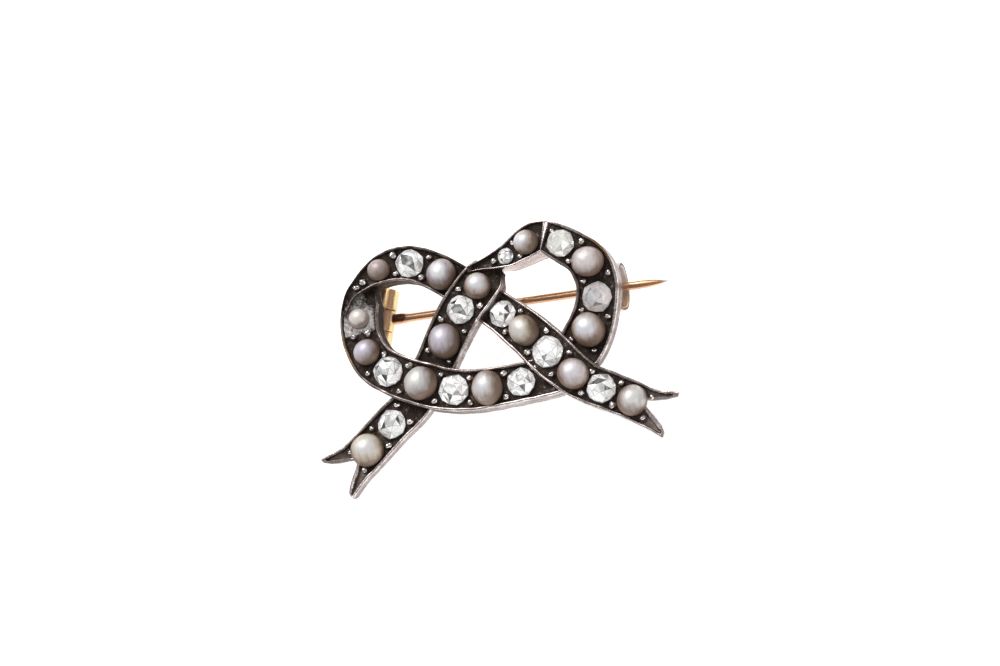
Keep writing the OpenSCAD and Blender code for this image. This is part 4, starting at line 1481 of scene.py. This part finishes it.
@dataclass
class Grains(SubAssembly):
    """The bright silver grains that hold the stones."""

    sizes: Sizes
    lay: Lay
    curves: dict[str, Curve]
    seats: list[Seat]
    finish: OxidisedSilver = OxidisedSilver((0.86, 0.79, 0.77), (0.96, 0.91, 0.89), 0.15)

    smooth_deg = 60.0
    RUN = 2.5  # rows between neighbours that share a pair of grains

    def chart(self) -> Iterator[tuple[str, float, float]]:
        """Gives each grain's length of ribbon, row and share of the way across.

        Yields:
            The pairs between neighbouring stones on one length, then those at the ends of the runs.
        """
        for i, (a, b) in enumerate(zip(STONES, STONES[1:]), 1):
            if a[0] == b[0] and b[1] - a[1] < self.RUN and i != CEMENTED:
                yield from ((a[0], (a[1] + b[1]) / 2, sign * self.sizes.grain_out) for sign in (-1.0, 1.0))
        yield from END_GRAINS

    def patch(self) -> Patch:
        """Lumps: a sphere's points scaled to each grain's radius, drawn down to the floor and uneven.

        Returns:
            All grains as one patch, with the value "worn".
        """
        s = self.sizes
        down, around = dome(14, 9)
        polar = down * np.pi
        ball = np.stack([np.sin(polar) * np.cos(around), np.sin(polar) * np.sin(around), np.cos(polar)], -1)
        stone_at = np.array([seat.centre + seat.up * seat.height * 0.35 for seat in self.seats])
        stone_r = np.array([seat.radius for seat in self.seats])
        lumps = []
        for k, (name, at, share) in enumerate(self.chart()):
            c = self.curves[name]
            free = float(c.section(at)[2] - 2 * c.rim(at))
            foot = c.place(at) - [0, 0, s.floor_sink] + c.across(at) * share * (free - s.grain_d) / 2
            near = np.linalg.norm(stone_at - self.lay.points(foot + [0, 0, 0.2]), axis=1) - stone_r
            widest = s.grain_d / 2 * (1.12 + 0.12 * np.sin(5.1 * k))
            radius = float(np.clip(near.min() / MM + 0.05, 0.19, widest))
            lump = ball * [radius, radius * (0.9 + 0.12 * np.sin(2.3 * k)), 0.62 * s.grain_h]
            lump = lump * (1 + 0.20 * wobble(lump + k, 0.45, k))[..., None]
            top = 0.46 * s.grain_h + 0.05 * np.sin(4.0 * k)
            # Each grain's own tone, lighter at its top and darker towards the floor as painted light and
            # shade
            worn = (0.94 + 0.22 * np.sin(2.7 * k)) * (1.15 - 0.80 * down**2)
            lumps.append(grid(self.lay.points(foot + lump + [0, 0, top * 0.6]), {"worn": worn}))
        return join(lumps)

    def parts(self) -> Iterator[tuple[str, Patch, Finish, str]]:
        """All grains as one piece."""
        yield "silver_grains", self.patch(), self.finish, "bright_silver"


@dataclass
class Cement(SubAssembly):
    """The grey filling round the smallest pearl, between two rows of the curve."""

    sizes: Sizes
    lay: Lay
    curve: Curve
    seat: Seat
    finish: GreyCement = GreyCement()
    start: float = 9.35
    stop: float = 11.25

    smooth_deg = 70.0

    def patch(self) -> Patch:
        """A lumpy slab: its top = the channel's floor + the filling's depth, dug out round the pearl.

        Returns:
            The closed patch, with the value "pale".
        """
        s, c = self.sizes, self.curve
        rows = np.linspace(self.start, self.stop, 64)
        at, share = rows[:, None], np.linspace(-1, 1, 46)
        half = (c.section(rows)[:, 2] / 2 - c.rim(rows) - s.stone_gap)[:, None]
        level = c.place(rows)[:, None, :] + c.across(rows)[:, None, :] * (share * half)[..., None]
        rough = wobble(level, 0.9, 1.0) * 0.07 + wobble(level, 0.34, 4.0) * 0.05
        apart = np.linalg.norm((self.lay.points(level) - self.seat.centre) / MM, axis=-1)
        dug = ease((apart - self.seat.radius / MM * 0.92) / 0.35)
        low = s.seat_gap - s.floor_sink
        top = low + (s.cement_t * 0.86 + rough) * dug * ease((1 - np.abs(share)) / 0.08 + 0.4)
        ragged = 0.35 * wobble(level, 0.8, 6.0) + 0.25 * wobble(level, 0.3, 2.0)
        bare = ease((ragged + (at - 10.75) * 1.3 - share * 0.9 - 0.45) / 0.3)
        bare = np.maximum(bare, ease((ragged + (9.45 - at) * 2.2 - 0.25) / 0.3))
        top = top * (1 - bare) - (s.floor_sink + 0.06) * bare
        pale = 0.86 - 0.20 * ease((apart - 0.8) / 0.4) - 0.32 * ease((at - 10.4) / 0.4)
        upper = level + top[..., None] * UP
        lower = level + (low - 0.01) * UP
        lower[..., 2] = np.minimum(lower[..., 2], upper[..., 2] - 0.02)
        sheets = [(upper, pale), (lower, pale)]
        for cut in (np.s_[:, 0], np.s_[:, -1], np.s_[0], np.s_[-1]):
            sheets.append((np.stack([upper[cut], lower[cut]], 1), pale[cut][:, None]))
        return join([grid(self.lay.points(sheet), {"pale": tone}, False) for sheet, tone in sheets])

    def parts(self) -> Iterator[tuple[str, Patch, Finish, str]]:
        """The filling as one piece."""
        yield "cement_filling", self.patch(), self.finish, "grey_cement"


# ---------------------------------------------------------------------------------------------------
# Hinge, stem and catch
# ---------------------------------------------------------------------------------------------------


@dataclass
class Hinge(SubAssembly):
    """The gold tube hinge behind the left band: two knuckles on legs and the rivet."""

    sizes: Sizes
    lay: Lay
    axis_at: Array
    finish: WornGold = WornGold(other=Tone.ROSE)

    @property
    def knuckle_l(self) -> float:
        """Length of one of the three knuckles."""
        return (self.sizes.hinge_l - 2 * self.sizes.run_gap) / 3

    def carried(self, local: Array) -> Array:
        """Carries points drawn along the hinge's axis, across it and to the front to the model's place.

        Args:
            local: The points, in millimetres.

        Returns:
            The points in metres.
        """
        a = math.radians(self.sizes.hinge_skew)
        frame = np.array([[math.sin(a), math.cos(a), 0], [-math.cos(a), math.sin(a), 0], [0, 0, 1.0]])
        return self.lay.points(local @ frame + self.axis_at)

    def knuckle(self, middle: float, bore: float, edge: float, grime: float, seed: float) -> Patch:
        """A drum spun from half its section: along its bore, out, over its rounded edges and back.

        Args:
            middle: Its place along the hinge.
            bore: Its bore's radius.
            edge: Radius of its edges.
            grime: How tarnished it is between its ends.
            seed: Makes its unevenness its own.

        Returns:
            The patch, darker towards its ends, and rose gold with painted shade on the side of the band.
        """
        radius, h = self.sizes.knuckle_d / 2, self.knuckle_l / 2
        turn = np.radians([0, 22.5, 45, 67.5, 90])
        left = np.stack([-h + edge * (1 - np.sin(turn)), radius - edge * (1 - np.cos(turn))], -1)[::-1]
        body = np.stack([np.linspace(-h + edge, h - edge, 9)[1:-1], np.full(7, radius)], -1)
        profile = np.concatenate([[[-h, bore]], left, body, left[::-1] * [-1, 1], [[h, bore], [-h, bore]]])
        ring, angle = spun(profile, 64, 0.006, seed)
        grime = grime + 0.25 * np.clip(np.abs(ring[..., 0]) / self.knuckle_l * 2 - 0.7, 0, 1)
        # Rose gold on the side of the band, also standing for painted shade on that side of the tube
        rosy_and_shaded = 0.8 * ease(0.9 * np.cos(angle) + 1.18)
        return grid(self.carried(ring + [middle, 0, 0]), {"grime": grime, "second": rosy_and_shaded})

    def patch(self) -> Patch:
        """Two knuckles, their legs down to the ribbon's back, and the rivet with its heads.

        Returns:
            The patch, with the values "grime" and "second".
        """
        s = self.sizes
        low, high = s.knuckle_d / 4, s.stem_drop - s.seat_gap
        stations = np.array([-0.5, -0.5, -0.47, 0.47, 0.5, 0.5]) * self.knuckle_l
        leg = slab(stations, s.leg_w / 2, (high - low) / 2, 0.94)
        sheets = []
        for k, side in enumerate((-1.0, 1.0)):
            middle = side * (self.knuckle_l + s.run_gap)
            sheets.append(self.knuckle(middle, s.rivet_d / 2 * 0.98, 0.09, 0.18, k))
            place = [middle, s.knuckle_d / 2 - s.leg_w / 2, (low + high) / 2]
            sheets.append(grid(self.carried(leg + place), {"grime": 0.42, "second": 0.0}))
        rivet = [[-1, 0], [-1, 0.8], [-0.985, 1], [0.985, 1], [1, 0.8], [1, 0]]
        ring, _ = spun(np.array(rivet) * [s.hinge_l / 2, s.rivet_d / 2], 32)
        return join([*sheets, grid(self.carried(ring), {"grime": 0.55, "second": 0.0})])

    def parts(self) -> Iterator[tuple[str, Patch, Finish, str]]:
        """The hinge as one piece."""
        yield "tube_hinge", self.patch(), self.finish, "yellow_gold"


@dataclass
class Stem(SubAssembly):
    """The rose gold stem: its knuckle on the rivet, a cone of dark solder and the wire drawn to a point."""

    sizes: Sizes
    lay: Lay
    axis_at: Array
    tip_x: float
    hinge: Hinge
    finish: WornGold = WornGold(Tone.ROSE, (0.1, 1.0, 1.0))

    def wire(self) -> Patch:
        """The wire, spun about X: thick in the solder, even along its length and drawn to a blunt point.

        Returns:
            The patch; "grime" is high in the solder and along a painted dark reflection on its front side.
        """
        s = self.sizes
        start = s.knuckle_d / 2 - s.root_in
        length = self.tip_x - self.axis_at[0] - start
        even_l = length - s.point_l
        x = np.concatenate([np.linspace(0, s.root_l, 16), np.linspace(s.root_l, even_l, 60)[1:],
                            length - s.point_l * (1 - np.linspace(0, 1, 26)[1:])])
        r = np.full(len(x), s.stem_d / 2)
        root, point = x < s.root_l, x > even_l
        r[root] += (s.root_d - s.stem_d) / 4 * np.sin(np.pi * (0.25 + 0.75 * x[root] / s.root_l))
        left = np.minimum((length - x[point]) / s.point_l * 1.5, 1.0)
        r[point] = s.stem_d / 2 * (0.08 + 0.92 * (1 - (1 - left) ** 2))
        profile = np.concatenate([[[0, 0]], np.stack([x, r], -1), [[length, 0]]])
        p, angle = spun(profile, 40, 0.012, 5.0)
        off = np.arccos(np.clip(np.cos(angle - np.pi / 2), -1, 1))
        # Painted reflection: a dark band along the wire's front side
        reflection_streak = 0.40 * np.exp(-((off / 0.55) ** 2))
        solder = 1.25 * (1 - ease((p[..., 0] - 0.85) / 0.4)) * ease((np.cos(angle) + 1.0) / 0.9)
        at_root = (p[..., 0] < s.root_l) & (np.linalg.norm(p[..., 1:], axis=-1) > 0.1)
        lumps = 0.03 * wobble(p, 0.5, 3.0) * at_root
        p[..., 1:] *= (1 + lumps)[..., None]
        second = ease((p[..., 0] - (length - 1.0)) / 0.9) * 0.7
        p = self.lay.points(p + self.axis_at + [start, 0, 0])
        return grid(p, {"grime": np.clip(reflection_streak + solder + 0.08, 0, 1.2), "second": second})

    def parts(self) -> Iterator[tuple[str, Patch, Finish, str]]:
        """The wire, and the middle knuckle in the hinge's gold."""
        yield "stem_wire", self.wire(), self.finish, "rose_gold"
        knuckle = self.hinge.knuckle(0.0, self.sizes.rivet_d / 2 + self.sizes.run_gap, 0.08, 0.20, 8.0)
        yield "stem_knuckle", knuckle, self.hinge.finish, "knuckle_gold"


@dataclass
class Catch(SubAssembly):
    """The open C catch behind the loop: a flat strip bent round the stem, and its foot.

    Attributes:
        sizes: The brooch's sizes.
        lay: How the bow lies.
        pin_y: Place of the stem's middle up the bow's plane.
        end_x: Where the catch ends along the stem.
        foot_z: Height of its foot's top.
        deep: Half the depth of its C.
        finish: Its gold.
    """

    sizes: Sizes
    lay: Lay
    pin_y: float
    end_x: float
    foot_z: float
    deep: float
    finish: WornGold = WornGold()

    FOOT_H, FOOT_T, FOOT_UP = 1.9, 0.3, 0.57  # its foot's height, thickness and place above the stem

    @classmethod
    def of_node(cls, sizes: Sizes, lay: Lay, node: bpy.types.Object, pin_y: float) -> Catch:
        """Measures the catch's solid in the bow's plane for its end, its foot's height and its depth.

        Args:
            sizes: The brooch's sizes.
            lay: How the bow lies.
            node: The catch's solid.
            pin_y: Place of the stem's middle up the bow's plane.

        Returns:
            The catch.
        """
        back = Lay(-lay.lean, np.zeros(3)).turn((corner_points(node) - lay.move) / MM)
        end_x, _, foot_z = map(float, back.max(0))
        return cls(sizes, lay, pin_y, end_x, foot_z, (foot_z - float(back[:, 2].min())) / 2)

    def strip(self) -> Patch:
        """A rounded strip carried round an ellipse from the foot to the lip.

        Centre line: y = pin + a cos t, z = foot - b - b sin t, with t from -84 to 196 degrees; the
        section is a box with rounded corners across X and the ellipse's normal.

        Returns:
            The patch, silvered near its foot and gold towards its lip, with a painted shadow of the stem
            where the C passes behind it.
        """
        s = self.sizes
        t = np.radians(np.linspace(-84, 196, 90))
        a, b = s.catch_h / 2 - s.catch_t / 2, self.deep - s.catch_t / 2
        line = np.stack([0 * t, self.pin_y + a * np.cos(t), self.foot_z - self.deep - b * np.sin(t)], -1)
        out = unit(np.stack([0 * t, np.cos(t) / a, -np.sin(t) / b], -1))
        k = circle(28)
        wide = blunt(np.cos(k), 0.3) * s.catch_w / 2
        thick = blunt(np.sin(k), 0.45) * s.catch_t / 2
        shrink = np.ones(len(t))
        shrink[[0, -1]] = 0.0
        shrink[[1, -2]] = 0.9
        lip = 1 - 0.35 * ease((t - np.radians(150)) / np.radians(46))
        p = line[:, None] + [self.end_x - s.catch_w / 2, 0, 0]
        p = p + (shrink * lip)[:, None, None] * wide[None, :, None] * np.array([1.0, 0, 0])
        p = p + shrink[:, None, None] * thick[None, :, None] * out[:, None, :]
        p[[0, -1]] = p[[1, -2]].mean(1, keepdims=True)
        # Darker along the strip's narrow edges, and a painted shadow of the stem where the C passes behind it
        grime = 0.20 + 0.65 * (np.abs(np.cos(k)) > 0.93) + 0.35 * np.exp(-(((t - 1.75) / 0.35) ** 2))[:, None]
        second = (1 - 0.52 * ease((t - 1.45) / 0.5))[:, None]
        return grid(self.lay.points(p), {"grime": grime, "second": second})

    def foot(self) -> Patch:
        """The plate under the loop's back, a rounded slab where the solid's foot is.

        Returns:
            The patch, silvered all over.
        """
        plate = slab(np.array([0.0, 0.0, -0.1, -0.9, -1.0, -1.0]) * self.FOOT_T, self.sizes.catch_w / 2,
                     self.FOOT_H / 2, 0.96)[..., [1, 2, 0]]
        place = [self.end_x - self.sizes.catch_w / 2, self.pin_y + self.FOOT_UP, self.foot_z]
        return grid(self.lay.points(plate + place), {"grime": 0.4, "second": 1.0})

    def parts(self) -> Iterator[tuple[str, Patch, Finish, str]]:
        """The catch as one piece."""
        yield "c_catch", join([self.strip(), self.foot()]), self.finish, "catch_gold"


# ---------------------------------------------------------------------------------------------------
# Studio
# ---------------------------------------------------------------------------------------------------


@dataclass
class Studio:
    """The white table, its soft lights and the camera at the photograph's angle.

    Attributes:
        lay: How the bow lies.
        toward: Direction to the camera in the bow's plane.
        roll: Angle by which the bow's X rises to the right in the picture, in degrees.
        distance: Distance of the camera, in metres.
        scale: Pixels to a millimetre at the bow.
        origin: Pixel of the bow's origin.
        size: Width and height of the picture.
        half_table: Half the table's side, in metres.
        sky: Strength of the even light all round.
    """

    lay: Lay
    toward: Axes = (0.28, -0.21, 0.9367)
    roll: float = 8.0
    distance: float = 0.3
    scale: float = 13.0
    origin: tuple[float, float] = (497.9, 358.4)
    size: tuple[float, float] = (1000.0, 666.0)
    half_table: float = 3.0
    sky: float = 0.30

    def camera(self) -> None:
        """Stands the camera so that the bow's origin falls on its pixel."""
        d = unit(np.array(self.toward))
        right = unit(np.cross([0, 1, 0], d))
        up = np.cross(d, right)
        turn = math.atan2(up[0], right[0]) - math.radians(self.roll)
        c, s = math.cos(turn), math.sin(turn)
        r, u = c * right + s * up, c * up - s * right
        aside = (self.size[0] / 2 - self.origin[0]) / self.scale
        above = (self.origin[1] - self.size[1] / 2) / self.scale
        eye = self.lay.points(r * aside + u * above) + self.lay.turn(d) * self.distance
        data = bpy.data.cameras.new("camera")
        data.sensor_width = 36.0
        data.lens = self.scale * self.distance / MM / self.size[0] * data.sensor_width
        data.clip_start, data.clip_end = 0.01, 10.0
        camera = stand("camera", data)
        axes = np.stack([self.lay.turn(r), self.lay.turn(u), self.lay.turn(d)], 1)
        camera.matrix_world = Matrix.Translation(Vector(eye)) @ Matrix(axes.tolist()).to_4x4()
        bpy.context.scene.camera = camera

    def light(self, name: str, place: Axes, side: float, power: float, tint: Colour) -> None:
        """Hangs a square soft light that looks at the brooch.

        Args:
            name: Its name.
            place: Its place, in metres.
            side: Its side, in metres.
            power: Its power, in watts.
            tint: Its colour.
        """
        data = bpy.data.lights.new(name, "AREA")
        data.shape, data.size, data.energy, data.color = "SQUARE", side, power, tint
        lamp = stand(name, data)
        lamp.location = place
        lamp.rotation_mode = "QUATERNION"
        lamp.rotation_quaternion = (-Vector(place)).to_track_quat("-Z", "Y")

    def build(self) -> None:
        """Builds the table, the lights, the sky and the camera."""
        mesh, h = bpy.data.meshes.new("table"), self.half_table
        mesh.from_pydata([(-h, -h, 0), (h, -h, 0), (h, h, 0), (-h, h, 0)], [], [(0, 1, 2, 3)])
        mesh.materials.append(WhiteTable().material("white_table"))
        stand("table", mesh)
        self.light("key_light", (-0.10, 0.16, 0.30), 0.24, 0.90, (1.0, 0.99, 0.98))
        self.light("fill_light", (0.24, -0.20, 0.16), 0.20, 0.16, WHITE)
        world = bpy.data.worlds.new("soft_sky")
        world.use_nodes = True
        sky = world.node_tree.nodes["Background"].inputs
        sky["Color"].default_value, sky["Strength"].default_value = (*WHITE, 1.0), self.sky
        bpy.context.scene.world = world
        bpy.context.scene.view_settings.view_transform = "Standard"
        self.camera()


# ---------------------------------------------------------------------------------------------------
# The brooch
# ---------------------------------------------------------------------------------------------------


def ride(pieces: Sequence[bpy.types.Object], body: str, slot: str, *nodes: str) -> None:
    """Lets pieces ride on a body, hides the nodes that they stand for and reports them.

    Args:
        pieces: The pieces.
        body: The body that carries them.
        slot: Not used.
        *nodes: The nodes that each of them stands for.
    """
    for piece in pieces:
        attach(piece, body)
        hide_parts(*nodes)
        log.info("%s: %d faces, on %s, for %s", piece.name, len(piece.data.polygons), body, ", ".join(nodes))


def main() -> None:
    """Builds the brooch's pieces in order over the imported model, then the studio."""
    logging.basicConfig(level=logging.INFO, format="%(message)s", stream=sys.stdout)
    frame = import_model()
    nodes = frame["nodes"]
    s = Sizes()
    band = Curve(s, CURVE_ROWS)
    x, y, width, _, _ = band.section(s.hinge_at)
    axis_at = np.array([x + width / 2 - s.hinge_in, y, -s.stem_drop])
    lay = Lay.from_joint(frame["joints"][0], axis_at)

    ribbon = Ribbon(s, lay)
    ride(ribbon.build(), BODY, "silver", "ribbon")

    pearls, roses = ([Seat.of_node(nodes[f"{kind}_{k}"]) for k in range(1, len(looks) + 1)]
                     for kind, looks in (("pearl", PEARL_LOOKS), ("diamond", ROSE_LOOKS)))
    for k, piece in enumerate(Pearls(pearls).build(), 1):
        ride([piece], BODY, "pearl", f"pearl_{k}")
    for k, piece in enumerate(RoseCuts(roses).build(), 1):
        ride([piece], BODY, "diamond", f"diamond_{k}")
    ride(Grains(s, lay, ribbon.curves(), pearls + roses).build(), BODY, "silver", "ribbon")
    pearls_before = sum(pearl for _, _, pearl in STONES[:CEMENTED])
    ride(Cement(s, lay, band, pearls[pearls_before]).build(), BODY, "cement", "cement")

    hinge = Hinge(s, lay, axis_at)
    ride(hinge.build(), BODY, "gold", "hinge")
    tip_x = (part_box("pin_stem")[1][0] - float(lay.move[0])) / MM
    ride(Stem(s, lay, axis_at, tip_x, hinge).build(), PIN_BODY, "rose_gold", "pin_stem")
    ride(Catch.of_node(s, lay, nodes["catch"], float(axis_at[1])).build(), BODY, "gold", "catch")

    Studio(lay).build()


if __name__ == "__main__":
    main()
